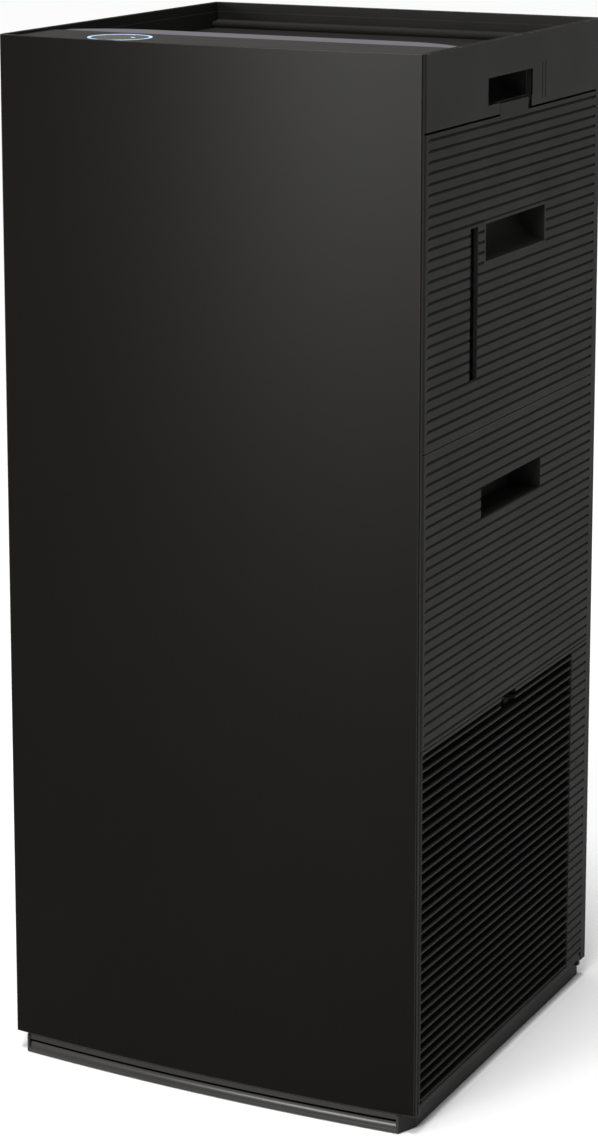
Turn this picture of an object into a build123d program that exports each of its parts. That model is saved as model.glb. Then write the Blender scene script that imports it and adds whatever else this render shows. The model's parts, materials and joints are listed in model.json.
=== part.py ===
from build123d import *
import os
from math import cos, pi, radians, sin, sqrt

# Slim floor-standing air purifier with a humidifier.
# Own frame: +Z up, front towards -Y, water tank towards +X, origin on the floor under the middle.

os.makedirs("parts", exist_ok=True)

# Overall size
WIDTH = 322.0
DEPTH = 324.0
HEIGHT = 742.0
HALF_W = WIDTH / 2
BACK_Y = DEPTH / 2

# Front face: a plate that bulges forwards, above a base trim that stands a little proud of it
BOW = 7.0
TRIM_PROUD = 2.4
PANEL_T = 3.0
PANEL_APEX_Y = TRIM_PROUD - BACK_Y
CORNER_Y = PANEL_APEX_Y + BOW
BOW_RADIUS = (HALF_W**2 + BOW**2) / (2 * BOW)
BOW_CENTRE_Y = PANEL_APEX_Y + BOW_RADIUS

# Levels
FOOT_BOTTOM = 0.0
PLINTH_BOTTOM = 0.8
PANEL_BOTTOM = 13.5
PLINTH_TOP = 15.0
LOUVRE_TOP = 272.6
MID_DECK_BOTTOM = 273.2
MID_DECK_TOP = 276.2
TANK_RAIL_TOP = 487.6
TOP_DECK_BOTTOM = 684.5
TOP_DECK_TOP = 687.5
PANEL_SEAM = 689.0
FRAME_BOTTOM = 690.6
DECK_TOP = HEIGHT - 2.0

# Side faces
SEAM = 0.8
SHELL_T = 3.0
SIDE_FRONT_Y = CORNER_Y + PANEL_T + 0.6
SIDE_REAR_Y = 150.6
POST_FRONT_Y = SIDE_REAR_Y + 0.3
COVER_T = 6.0
COVER_INNER_X = HALF_W - COVER_T

# Clapboard ribs, on one grid from the plinth to the top frame
RIB_PITCH = 7.17
RIB_BASE = 22.0
RIB_COUNT = 93
RIB_DEPTH = 1.35
RIB_RUNOUT = 11.0
TRAY_SEAM_RIB = 63

# Louvre covers
LOUVRE_INNER_X = 149.2
LOUVRE_REAR_Y = 122.0
LOUVRE_COUNT = 34
SLAT_T = 2.4
PIVOT_X = 157.5
PIVOT_Z = 19.0
HINGE_PIN_R = 1.6
HINGE_EAR_R = 3.2
HINGE_CLEARANCE = 0.4
FRONT_EAR_Y = (-148.2, -144.3)
REAR_EAR_Y = (145.9, 149.8)

# Fan
FAN_X = -44.0
FAN_Y = 5.0
FAN_Z = 140.0
FAN_HALF_W = 39.0
ROTOR_R = 82.0
ROTOR_INNER_R = 66.0
BLADES = 42
HOUSING_T = 2.4
SHAFT_R = 4.0
RUNNING_GAP = 0.05

# Humidifying wheel and its drive
WHEEL_Y = 0.0
WHEEL_Z = 377.0
WHEEL_TEETH = 88
PINION_TEETH = 12
WHEEL_MODULE = 2.0
WHEEL_INNER_X = 8.0
WHEEL_W = 28.0
TOOTH_W = 9.0
AXLE_R = 4.0

# Outlet flap
FLAP_TEETH = 12
FLAP_MODULE = 1.0
FLAP_Y = 149.8
FLAP_Z = 725.5
FLAP_PIN_R = 2.5
FLAP_HALF_W = 152.8


# ---------------------------------------------------------------- helpers

def block(x_range, y_range, z_range, mode=Mode.ADD):
    """Rectangular block between its lowest and highest coordinates."""
    centre = (sum(x_range) / 2, sum(y_range) / 2, sum(z_range) / 2)
    with Locations(centre):
        Box(x_range[1] - x_range[0], y_range[1] - y_range[0], z_range[1] - z_range[0], mode=mode)


def side_range(side, inner, outer):
    """X range of something that lies between two distances from the middle, on one side."""
    return (inner, outer) if side > 0 else (-outer, -inner)


def bow_y(x, inset=0.0):
    """Y of the bowed front surface at x, moved back by inset."""
    return BOW_CENTRE_Y - sqrt((BOW_RADIUS - inset) ** 2 - x**2)


def bowed_plan(half_width, back_y, inset):
    """Closed outline with a bowed front edge and a straight back edge."""
    corner = bow_y(half_width, inset)
    with BuildLine() as outline:
        ThreePointArc((-half_width, corner), (0, bow_y(0, inset)), (half_width, corner))
        Polyline((half_width, corner), (half_width, back_y), (-half_width, back_y), (-half_width, corner))
    make_face(outline.edges())


def groove_level(index):
    """Height of the groove above rib number index."""
    return RIB_BASE + (index + 0.5) * RIB_PITCH


def rib_grooves(side, z_low, z_high):
    """Cutter for the grooves of one side face between two levels, fading out at the front edge."""
    face = HALF_W * side
    levels = [groove_level(k) for k in range(RIB_COUNT) if z_low < groove_level(k) < z_high]
    run = SIDE_REAR_Y + 1 - SIDE_FRONT_Y
    with BuildPart() as grooves:
        with BuildSketch(Plane.XZ.offset(-SIDE_REAR_Y - 1)):
            for level in levels:
                with BuildLine():
                    Polyline(
                        (face + 0.3 * side, level + 1.0),
                        (face - RIB_DEPTH * side, level + 0.6),
                        (face + 0.3 * side, level - 1.7),
                        close=True,
                    )
                make_face()
        extrude(amount=run)
        with BuildSketch(Plane.XY.offset(z_low - 10)):
            with BuildLine():
                Polyline(
                    (face + 0.3 * side, SIDE_FRONT_Y - 1),
                    (face + 0.3 * side, SIDE_FRONT_Y + 1),
                    (face - 1.1 * RIB_DEPTH * side, SIDE_FRONT_Y + RIB_RUNOUT),
                    (face - 3 * RIB_DEPTH * side, SIDE_FRONT_Y + RIB_RUNOUT),
                    (face - 3 * RIB_DEPTH * side, SIDE_FRONT_Y - 1),
                    close=True,
                )
            make_face()
        extrude(amount=z_high - z_low + 20, mode=Mode.SUBTRACT)
    return grooves.part


def scoop(side, face, depth, y_range, z_low, z_high, lip, rise, grow):
    """Finger hollow whose floor sweeps up behind a lip; grow makes the shell around it."""
    top = z_high + rise
    drop = top - z_low
    with BuildPart() as hollow:
        with BuildSketch(Plane.XZ.offset(-y_range[1] - grow)):
            with BuildLine():
                Line((side * (face + 1), z_low), (side * face, z_low))
                ThreePointArc(
                    (side * face, z_low),
                    (side * (face - depth * sin(pi / 4)), z_low + drop * (1 - cos(pi / 4))),
                    (side * (face - depth), top),
                )
                behind_lip = [(side * (face - lip), top), (side * (face - lip), z_high)] if rise > 0 else []
                Polyline(
                    (side * (face - depth), top),
                    *behind_lip,
                    (side * (face + 1), z_high),
                    (side * (face + 1), z_low),
                )
            make_face()
            if grow > 0:
                offset(amount=grow, kind=Kind.INTERSECTION)
        extrude(amount=y_range[1] - y_range[0] + 2 * grow)
    return hollow.part


def gear_outline(teeth, module, phase=0.0):
    """Gear outline with straight-flanked teeth and backlash; phase is in degrees."""
    pitch_r = teeth * module / 2
    tip_r = pitch_r + 0.8 * module
    root_r = pitch_r - 1.15 * module
    tooth = 360.0 / teeth
    half_tip = degrees_of(0.3 * module / tip_r)
    half_root = degrees_of(1.0 * module / root_r)
    points = []
    for index in range(teeth):
        middle = phase + index * tooth
        for radius, angle in (
            (root_r, middle - half_root),
            (tip_r, middle - half_tip),
            (tip_r, middle + half_tip),
            (root_r, middle + half_root),
        ):
            points.append((radius * cos(radians(angle)), radius * sin(radians(angle))))
    with BuildLine() as outline:
        Polyline(*points, close=True)
    make_face(outline.edges())


def degrees_of(angle):
    """Radians to degrees."""
    return angle * 180 / pi


def yz_plane(x, y=0.0, z=0.0):
    """Plane facing +X whose local axes are Y and Z, with its origin at a point."""
    return Plane(origin=(x, y, z), x_dir=(0, 1, 0), z_dir=(1, 0, 0))


# ---------------------------------------------------------------- base

PLINTH_HALF_W = 155.8
PLINTH_FRONT_HALF_W = 149.2
PLINTH_CHAMFER = 15.0
PLINTH_BACK_Y = 156.7
TRIM_HALF_W = 147.5
TRIM_BACK = 6.0
TRIM_LIP_H = 3.6
TRIM_SLIT_H = 1.4
TRIM_SLIT_DEPTH = 3.2
TRIM_FOOT_H = 5.2
FOOT_R = 9.0
FOOT_PLACES = [(-122, -118), (122, -118), (-122, 128), (122, 128)]


def plinth_plan(inset):
    """Outline of the plinth: bowed front, chamfered front corners."""
    corner_y = bow_y(PLINTH_FRONT_HALF_W, inset)
    with BuildLine() as outline:
        ThreePointArc(
            (-PLINTH_FRONT_HALF_W, corner_y),
            (0, bow_y(0, inset)),
            (PLINTH_FRONT_HALF_W, corner_y),
        )
        Polyline(
            (PLINTH_FRONT_HALF_W, corner_y),
            (PLINTH_HALF_W, corner_y + PLINTH_CHAMFER),
            (PLINTH_HALF_W, PLINTH_BACK_Y),
            (-PLINTH_HALF_W, PLINTH_BACK_Y),
            (-PLINTH_HALF_W, corner_y + PLINTH_CHAMFER),
            (-PLINTH_FRONT_HALF_W, corner_y),
        )
    make_face(outline.edges())


TRIM_ANGLE = 2 * degrees_of(TRIM_HALF_W / BOW_RADIUS)
TRIM_AXIS = Axis((0, BOW_CENTRE_Y, 0), (0, 0, 1))


def trim_plane(swing):
    """Vertical plane through the bow's centre line, turned to one end of the trim."""
    turn = radians(-90 - swing / 2)
    return Plane(
        origin=(0, BOW_CENTRE_Y, 0),
        x_dir=(cos(turn), sin(turn), 0),
        z_dir=(sin(turn), -cos(turn), 0),
    )


with BuildPart() as trim_space:
    with BuildSketch(trim_plane(TRIM_ANGLE)):
        with Locations((BOW_RADIUS + 2, (PLINTH_BOTTOM + PANEL_BOTTOM) / 2 - 1)):
            Rectangle(2 * (TRIM_BACK + 2.2), PANEL_BOTTOM - PLINTH_BOTTOM + 2)
    revolve(axis=TRIM_AXIS, revolution_arc=TRIM_ANGLE)

with BuildPart() as base_plinth:
    with BuildSketch(Plane.XY.offset(PLINTH_BOTTOM)):
        plinth_plan(-TRIM_PROUD)
    extrude(amount=PANEL_BOTTOM - 0.3 - PLINTH_BOTTOM)
    with BuildSketch(Plane.XY.offset(PANEL_BOTTOM - 0.3)):
        plinth_plan(PANEL_T + 0.8)
    extrude(amount=PLINTH_TOP - PANEL_BOTTOM + 0.3)
    add(trim_space.part, mode=Mode.SUBTRACT)
    for x_range in ((-PLINTH_HALF_W + 4, -3), (3, PLINTH_HALF_W - 4)):
        block(x_range, (-136, 2), (PLINTH_BOTTOM - 1, PLINTH_TOP - 3), mode=Mode.SUBTRACT)
        block(x_range, (8, PLINTH_BACK_Y - 4), (PLINTH_BOTTOM - 1, PLINTH_TOP - 3), mode=Mode.SUBTRACT)
    with BuildSketch(Plane.XY.offset(FOOT_BOTTOM + 1.6)):
        with Locations(*FOOT_PLACES):
            Circle(FOOT_R + 2)
    extrude(amount=PLINTH_TOP - 2 - FOOT_BOTTOM - 1.6)
    for side in (-1, 1):
        for ear_y in (FRONT_EAR_Y, REAR_EAR_Y):
            ear_x = side_range(side, PIVOT_X - HINGE_EAR_R, PIVOT_X + HINGE_EAR_R)
            block(side_range(side, 146, PIVOT_X + HINGE_EAR_R), ear_y, (PLINTH_TOP - 2.5, PLINTH_TOP - 0.1))
            block(ear_x, ear_y, (PLINTH_TOP - 1, PIVOT_Z))
            with BuildSketch(Plane.XZ.offset(-ear_y[1])):
                with Locations((side * PIVOT_X, PIVOT_Z)):
                    Circle(HINGE_EAR_R)
            extrude(amount=ear_y[1] - ear_y[0])
            with BuildSketch(Plane.XZ.offset(-ear_y[1] - 1)):
                with Locations((side * PIVOT_X, PIVOT_Z)):
                    Circle(HINGE_PIN_R + RUNNING_GAP)
            extrude(amount=ear_y[1] - ear_y[0] + 2, mode=Mode.SUBTRACT)
base_plinth.part.label = "base_plinth"
export_step(base_plinth.part, "parts/base_plinth.step")

# Base trim: a sloping lip, a slit under it, and a hollow glossy foot, swept along the bow
lip_bottom = PANEL_BOTTOM - TRIM_LIP_H
slit_bottom = lip_bottom - TRIM_SLIT_H
foot_edge = slit_bottom - TRIM_FOOT_H
trim_back_r = BOW_RADIUS - TRIM_BACK + 0.2
slit_r = BOW_RADIUS - TRIM_SLIT_DEPTH

with BuildPart() as base_trim:
    with BuildSketch(trim_plane(TRIM_ANGLE)):
        with BuildLine():
            Polyline(
                (trim_back_r, PANEL_BOTTOM - 0.3),
                (BOW_RADIUS + 0.1, PANEL_BOTTOM - 0.3),
                (BOW_RADIUS + 1.5, lip_bottom + 0.5),
                (BOW_RADIUS + 1.2, lip_bottom),
                (slit_r, lip_bottom),
                (slit_r, slit_bottom),
                (BOW_RADIUS + 0.3, slit_bottom),
            )
            ThreePointArc(
                (BOW_RADIUS + 0.3, slit_bottom),
                (BOW_RADIUS + 0.6, slit_bottom - 0.55 * TRIM_FOOT_H),
                (BOW_RADIUS + 1.9, foot_edge),
            )
            Polyline(
                (BOW_RADIUS + 1.9, foot_edge),
                (BOW_RADIUS + TRIM_PROUD, foot_edge - 0.4),
                (BOW_RADIUS + TRIM_PROUD, PLINTH_BOTTOM),
                (trim_back_r, PLINTH_BOTTOM),
                (trim_back_r, PANEL_BOTTOM - 0.3),
            )
        make_face()
    revolve(axis=TRIM_AXIS, revolution_arc=TRIM_ANGLE)
base_trim.part.label = "base_trim"
export_step(base_trim.part, "parts/base_trim.step")

with BuildPart() as foot_pads:
    with BuildSketch(Plane.XY.offset(FOOT_BOTTOM)):
        with Locations(*FOOT_PLACES):
            Circle(FOOT_R)
    extrude(amount=1.6)
foot_pads.part.label = "foot_pads"
export_step(foot_pads.part, "parts/foot_pads.step")

PAN_HALF_W = 143.5
PAN_FRONT_Y = -147.0
PAN_BACK_Y = 156.0
PAN_FLOOR = 18.0
INTAKE_WALL_X = 140.5

# Inner chassis: a floor and two side walls, each with an intake window that takes a filter
with BuildPart() as inner_chassis:
    block((-PAN_HALF_W, PAN_HALF_W), (PAN_FRONT_Y, PAN_BACK_Y), (PLINTH_TOP, PAN_FLOOR))
    for y_range in ((PAN_FRONT_Y + 3, PAN_FRONT_Y + 5.4), (PAN_BACK_Y - 2.4, PAN_BACK_Y)):
        block((-136, 136), y_range, (PAN_FLOOR, PAN_FLOOR + 6))
    for side in (-1, 1):
        block(side_range(side, 102.9, 103.8), (-116, 116), (PAN_FLOOR, PAN_FLOOR + 5))
        block(side_range(side, INTAKE_WALL_X, PAN_HALF_W), (-144.3, 150), (PAN_FLOOR, MID_DECK_BOTTOM))
        window_x = side_range(side, INTAKE_WALL_X - 0.5, PAN_HALF_W + 0.5)
        block(window_x, (-111, 111), (29, 257), mode=Mode.SUBTRACT)
    with BuildSketch(Plane.XY.offset(PAN_FLOOR)):
        with Locations((-100, -130), (100, -130), (-100, 140), (100, 140)):
            Circle(6)
            Circle(2, mode=Mode.SUBTRACT)
    extrude(amount=9)
inner_chassis.part.label = "inner_chassis"
export_step(inner_chassis.part, "parts/inner_chassis.step")

# ---------------------------------------------------------------- front panel and inner walls

with BuildPart() as front_panel:
    with BuildSketch(Plane.XY.offset(PANEL_BOTTOM)):
        bowed_plan(HALF_W - 0.7, 0, 0)
        with BuildSketch(mode=Mode.PRIVATE) as behind:
            bowed_plan(HALF_W, 10, PANEL_T)
        add(behind.sketch, mode=Mode.SUBTRACT)
    extrude(amount=HEIGHT - PANEL_BOTTOM)
    upright = front_panel.edges().filter_by(Axis.Z)
    chamfer(upright.group_by(Axis.Y)[0], length=0.9)
front_panel.part.label = "front_panel"
export_step(front_panel.part, "parts/front_panel.step")

WALL_T = 2.5
FRONT_WALL_Y = -147.0
WALL_HALF_W = 154.0
CLIP_X = 128.0
CLIP_LEVELS = [60, 210, 360, 510, 660]

# Inner front wall, with stiffening ribs and the hooks that hold the front panel
with BuildPart() as front_wall:
    wall_y = (FRONT_WALL_Y, FRONT_WALL_Y + WALL_T)
    rib_y = (FRONT_WALL_Y - 3, FRONT_WALL_Y)
    block((-WALL_HALF_W, WALL_HALF_W), wall_y, (MID_DECK_BOTTOM, TOP_DECK_BOTTOM))
    block((-WALL_HALF_W + 6.5, WALL_HALF_W - 6.5), wall_y, (PAN_FLOOR + 8, MID_DECK_BOTTOM))
    for level in CLIP_LEVELS[:-1]:
        block((-WALL_HALF_W + 34, WALL_HALF_W - 34), rib_y, (level + 74, level + 76.5))
    for x in (-90, 0, 90):
        block((x - 1.2, x + 1.2), rib_y, (PAN_FLOOR + 8, TOP_DECK_BOTTOM))
    hook_y = (bow_y(CLIP_X + 7, PANEL_T) + 0.25, FRONT_WALL_Y)
    for level in CLIP_LEVELS:
        for side in (-1, 1):
            block((side * CLIP_X - 7, side * CLIP_X + 7), hook_y, (level - 9, level - 6.5))
            block((side * CLIP_X - 7, side * CLIP_X + 7), hook_y, (level + 6.5, level + 9))
            block((side * CLIP_X - 7, side * CLIP_X - 4.5), hook_y, (level - 9, level + 9))
front_wall.part.label = "front_wall"
export_step(front_wall.part, "parts/front_wall.step")

# Rear cover: back wall with a post on each side, cord inlet low on one side
GLAND_X = -105.0
GLAND_Z = 46.0
GLAND_R = 7.0
REAR_SCREWS = [(x, z) for x in (-140, 140) for z in (60, 240, 420, 660)]

with BuildPart() as rear_cover:
    block((-HALF_W, HALF_W), (POST_FRONT_Y, BACK_Y), (PLINTH_TOP + 0.3, FRAME_BOTTOM - 0.2))
    fillet(rear_cover.edges().filter_by(Axis.Z).group_by(Axis.Y)[-1], radius=3)
    inner_z = (PLINTH_TOP + 0.3 + SHELL_T, FRAME_BOTTOM - 0.2 - SHELL_T)
    inner_x = (-HALF_W + SHELL_T, HALF_W - SHELL_T)
    block(inner_x, (POST_FRONT_Y - 1, BACK_Y - SHELL_T), inner_z, mode=Mode.SUBTRACT)
    block((-PAN_HALF_W, PAN_HALF_W), (POST_FRONT_Y - 1, 156.4), (PLINTH_TOP, PAN_FLOOR + 7), mode=Mode.SUBTRACT)
    for level in range(110, 640, 22):
        block((-118, 118), (BACK_Y - 1.2, BACK_Y + 1), (level, level + 3.2), mode=Mode.SUBTRACT)
    with BuildSketch(Plane.XZ.offset(-BACK_Y - 1)):
        with Locations(*REAR_SCREWS):
            Circle(4.6)
    extrude(amount=2.6, mode=Mode.SUBTRACT)
    with BuildSketch(Plane.XZ.offset(-BACK_Y - 1)):
        with Locations(*REAR_SCREWS):
            Circle(1.8)
        with Locations((GLAND_X, GLAND_Z)):
            Circle(GLAND_R)
    extrude(amount=6, mode=Mode.SUBTRACT)
rear_cover.part.label = "rear_cover"
export_step(rear_cover.part, "parts/rear_cover.step")

with BuildPart() as cord_gland:
    with BuildSketch(Plane.XZ.offset(-BACK_Y)):
        with Locations((GLAND_X, GLAND_Z)):
            Circle(GLAND_R - 0.1)
            Circle(3.4, mode=Mode.SUBTRACT)
    extrude(amount=9)
    with BuildSketch(Plane.XZ.offset(-BACK_Y + SHELL_T)):
        with Locations((GLAND_X, GLAND_Z)):
            Circle(GLAND_R + 2.4)
            Circle(3.4, mode=Mode.SUBTRACT)
    extrude(amount=2.4)
cord_gland.part.label = "cord_gland"
export_step(cord_gland.part, "parts/cord_gland.step")

# ---------------------------------------------------------------- decks and partitions

NECK_Y = (15.0, 115.0)
SCROLL_Y = 11.0
SCROLL_R = 104.0
DUCT_WALL_X = (-6.0, -3.4)
DUCT_OPENING_R = 78.0

with BuildPart() as mid_deck:
    block((-WALL_HALF_W, WALL_HALF_W), (-144, 150), (MID_DECK_BOTTOM, MID_DECK_TOP))
    neck_x = (FAN_X - FAN_HALF_W + HOUSING_T, FAN_X + FAN_HALF_W - HOUSING_T)
    block(neck_x, NECK_Y, (MID_DECK_BOTTOM - 1, MID_DECK_TOP + 1), mode=Mode.SUBTRACT)
mid_deck.part.label = "mid_deck"
export_step(mid_deck.part, "parts/mid_deck.step")

PINION_DISTANCE = (WHEEL_TEETH + PINION_TEETH) * WHEEL_MODULE / 2
PINION_Y = WHEEL_Y + PINION_DISTANCE * cos(pi / 4)
PINION_Z = WHEEL_Z + PINION_DISTANCE * sin(pi / 4)

# Air duct: one wall beside the wet bays and one behind the circuit boards
with BuildPart() as duct_wall:
    block(DUCT_WALL_X, (-118, 150), (MID_DECK_TOP, TOP_DECK_BOTTOM))
    block((-154, DUCT_WALL_X[1]), (-120.4, -118), (MID_DECK_TOP, TOP_DECK_BOTTOM))
    with BuildSketch(yz_plane(DUCT_WALL_X[0] - 1, WHEEL_Y, WHEEL_Z)):
        Circle(DUCT_OPENING_R)
    extrude(amount=5, mode=Mode.SUBTRACT)
    with BuildSketch(yz_plane(DUCT_WALL_X[0] - 1, PINION_Y, PINION_Z)):
        Circle(8)
    extrude(amount=5, mode=Mode.SUBTRACT)
duct_wall.part.label = "duct_wall"
export_step(duct_wall.part, "parts/duct_wall.step")

with BuildPart() as top_deck:
    block((-WALL_HALF_W, WALL_HALF_W), (FRONT_WALL_Y, 150.4), (TOP_DECK_BOTTOM, TOP_DECK_TOP))
    block((-149, -8), (-114, 146), (TOP_DECK_BOTTOM - 1, TOP_DECK_TOP + 1), mode=Mode.SUBTRACT)
top_deck.part.label = "top_deck"
export_step(top_deck.part, "parts/top_deck.step")

# Frame on the tank side: one opening for the tray and the tank, and the tank's two rails
BAY_HALF_Y = 121.5
BAY_TOP = 681.0
with BuildPart() as tank_side_frame:
    block((150.5, 154.5), (-144.3, 150), (MID_DECK_TOP, TOP_DECK_BOTTOM))
    block((150, 155), (-BAY_HALF_Y, BAY_HALF_Y), (MID_DECK_TOP - 1, BAY_TOP), mode=Mode.SUBTRACT)
    for side in (-1, 1):
        block((40, 154), side_range(side, 104, 126), (484.6, TANK_RAIL_TOP))
        block((40, 154), side_range(side, 123.6, 126), (TANK_RAIL_TOP, 500))
        block((40, 43), side_range(side, 104, 126), (TANK_RAIL_TOP, 500))
tank_side_frame.part.label = "tank_side_frame"
export_step(tank_side_frame.part, "parts/tank_side_frame.step")

# ---------------------------------------------------------------- left side panel

left_grooves = rib_grooves(-1, LOUVRE_TOP + SEAM, PANEL_SEAM)
with BuildPart() as side_panel_left:
    panel_z = (LOUVRE_TOP + SEAM, PANEL_SEAM + 1.2)
    block((-HALF_W, -COVER_INNER_X), (SIDE_FRONT_Y, SIDE_REAR_Y), panel_z)
    block((-HALF_W + 3, -COVER_INNER_X + 1), (-144, 146), (panel_z[0] + 4, panel_z[1] - 4), mode=Mode.SUBTRACT)
    fillet(side_panel_left.edges().filter_by(Axis.Z).group_by(Axis.X)[0].sort_by(Axis.Y)[0], radius=2)
    add(left_grooves, mode=Mode.SUBTRACT)
side_panel_left.part.label = "side_panel_left"
export_step(side_panel_left.part, "parts/side_panel_left.step")

# ---------------------------------------------------------------- louvre covers, pre-filters, filters

BAR_Y = (FRONT_EAR_Y[1] + 0.5, REAR_EAR_Y[0] - 0.5)
NOTCH_Y = (-12.0, 14.1)
NOTCH_DEPTH = 9.0
PLEATS = 26
PLEAT_SPAN = 222.0

for side, word in ((-1, "left"), (1, "right")):
    louvre_grooves = rib_grooves(side, PLINTH_TOP + 6, LOUVRE_TOP - 1)
    with BuildPart() as louvre_cover:
        body_x = side_range(side, LOUVRE_INNER_X, HALF_W)
        open_x = side_range(side, LOUVRE_INNER_X - 1, HALF_W + 1)
        block(body_x, (SIDE_FRONT_Y, SIDE_REAR_Y), (PLINTH_TOP + 0.3, LOUVRE_TOP))
        front_edge = louvre_cover.edges().filter_by(Axis.Z).sort_by(Axis.X)
        outer_edges = front_edge[-2:] if side > 0 else front_edge[:2]
        fillet(outer_edges.sort_by(Axis.Y)[0], radius=2)
        corner_z = (PLINTH_TOP, PIVOT_Z + HINGE_EAR_R + HINGE_CLEARANCE)
        block(open_x, (SIDE_FRONT_Y - 1, BAR_Y[0]), corner_z, mode=Mode.SUBTRACT)
        block(open_x, (BAR_Y[1], SIDE_REAR_Y + 1), corner_z, mode=Mode.SUBTRACT)
        low_edges = louvre_cover.edges().filter_by(Axis.Y).group_by(Axis.Z)[0].sort_by(Axis.X)
        fillet(low_edges[-1] if side > 0 else low_edges[0], radius=3.2)
        add(louvre_grooves, mode=Mode.SUBTRACT)
        window_y = (SIDE_FRONT_Y + 2.6, LOUVRE_REAR_Y)
        block(open_x, window_y, (PLINTH_TOP + 5.6, LOUVRE_TOP - 3), mode=Mode.SUBTRACT)
        hollow_x = side_range(side, LOUVRE_INNER_X - 1, HALF_W - 4)
        block(hollow_x, (LOUVRE_REAR_Y + 4, SIDE_REAR_Y - 3), (24, 266), mode=Mode.SUBTRACT)
        with BuildSketch(Plane.XZ.offset(-LOUVRE_REAR_Y - 0.5)):
            for index in range(LOUVRE_COUNT + 1):
                level = RIB_BASE + index * RIB_PITCH
                with Locations((side * (HALF_W - 4.9), level)):
                    RectangleRounded(9.4, SLAT_T, SLAT_T / 2 - 0.1)
        extrude(amount=LOUVRE_REAR_Y + 0.5 - SIDE_FRONT_Y - 2.2)
        block(open_x, (SIDE_FRONT_Y + 2, BAR_Y[0]), corner_z, mode=Mode.SUBTRACT)
        for pin_y in ((FRONT_EAR_Y[0], BAR_Y[0] + 1), (BAR_Y[1] - 1, REAR_EAR_Y[1])):
            with BuildSketch(Plane.XZ.offset(-pin_y[1])):
                with Locations((side * PIVOT_X, PIVOT_Z)):
                    Circle(HINGE_PIN_R)
            extrude(amount=pin_y[1] - pin_y[0])
        for y in (-96, -42, 12, 66):
            block(side_range(side, LOUVRE_INNER_X, LOUVRE_INNER_X + 3.4), (y - 1.3, y + 1.3), (18, 270))
        notch_x = side_range(side, HALF_W - NOTCH_DEPTH, HALF_W + 1)
        block(notch_x, NOTCH_Y, (LOUVRE_TOP - 9.6, LOUVRE_TOP + 1), mode=Mode.SUBTRACT)
        block(side_range(side, LOUVRE_INNER_X, LOUVRE_INNER_X + 2), (NOTCH_Y[0] - 2, NOTCH_Y[1] + 2), (258, LOUVRE_TOP))
    louvre_cover.part.label = f"louvre_cover_{word}"
    export_step(louvre_cover.part, f"parts/louvre_cover_{word}.step")

    with BuildPart() as prefilter:
        sheet_x = side_range(side, 144.8, 148.6)
        block(sheet_x, (-144, 118), (23, 264))
        for index in range(5):
            low = -140 + index * 51.2
            for row in range(5):
                base = 27 + row * 47.0
                cell = ((low, low + 49), (base, base + 45))
                block(side_range(side, 144, 146.4), *cell, mode=Mode.SUBTRACT)
                block(side_range(side, 147.0, 149), *cell, mode=Mode.SUBTRACT)
    prefilter.part.label = f"prefilter_{word}"
    export_step(prefilter.part, f"parts/prefilter_{word}.step")

    with BuildPart() as hepa_filter:
        block(side_range(side, 104, 140.2), (-116, 116), (PAN_FLOOR + 5.4, 264))
        block(side_range(side, 103, 141), (-111, 111), (29, 257), mode=Mode.SUBTRACT)
        with BuildSketch(Plane.XY.offset(28.8)):
            front_folds = []
            back_folds = []
            for index in range(2 * PLEATS + 1):
                y = -PLEAT_SPAN / 2 + index * PLEAT_SPAN / (2 * PLEATS)
                fold = 108 if index % 2 == 0 else 134
                front_folds.append((side * fold, y))
                back_folds.append((side * (fold + 3.6), y))
            with BuildLine():
                Polyline(*front_folds, *reversed(back_folds), close=True)
            make_face()
        extrude(amount=228.4)
    hepa_filter.part.label = f"hepa_filter_{word}"
    export_step(hepa_filter.part, f"parts/hepa_filter_{word}.step")

    with BuildPart() as deodorising_filter:
        with BuildSketch(yz_plane(min(side * 92.5, side * 102.5), 0, 140)):
            Rectangle(226, 232)
            with GridLocations(15, 15, 14, 15):
                Rectangle(13, 13, mode=Mode.SUBTRACT)
        extrude(amount=10)
    deodorising_filter.part.label = f"deodorising_filter_{word}"
    export_step(deodorising_filter.part, f"parts/deodorising_filter_{word}.step")

# ---------------------------------------------------------------- fan

with BuildSketch() as scroll_inner:
    with Locations((SCROLL_Y, FAN_Z)):
        Circle(SCROLL_R)
    with Locations((sum(NECK_Y) / 2, (FAN_Z + MID_DECK_BOTTOM) / 2)):
        Rectangle(NECK_Y[1] - NECK_Y[0], MID_DECK_BOTTOM - FAN_Z)

with BuildSketch() as scroll_outer:
    with Locations((SCROLL_Y, FAN_Z)):
        Circle(SCROLL_R + HOUSING_T)
    with Locations((sum(NECK_Y) / 2, (FAN_Z + MID_DECK_BOTTOM - 0.3) / 2)):
        Rectangle(NECK_Y[1] - NECK_Y[0] + 2 * HOUSING_T, MID_DECK_BOTTOM - 0.3 - FAN_Z)

INLET_R = 66.0
for side, word in ((-1, "left"), (1, "right")):
    low_x = FAN_X - FAN_HALF_W if side < 0 else FAN_X
    end_x = FAN_X - FAN_HALF_W if side < 0 else FAN_X + FAN_HALF_W - HOUSING_T
    with BuildPart() as fan_housing:
        with BuildSketch(yz_plane(low_x)):
            add(scroll_outer.sketch)
        extrude(amount=FAN_HALF_W)
        with BuildSketch(yz_plane(low_x + (HOUSING_T if side < 0 else 0))):
            add(scroll_inner.sketch)
        extrude(amount=FAN_HALF_W - HOUSING_T, mode=Mode.SUBTRACT)
        with BuildSketch(yz_plane(end_x - 1, FAN_Y, FAN_Z)):
            Circle(INLET_R)
        extrude(amount=HOUSING_T + 2, mode=Mode.SUBTRACT)
    fan_housing.part.label = f"fan_housing_{word}"
    export_step(fan_housing.part, f"parts/fan_housing_{word}.step")

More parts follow.
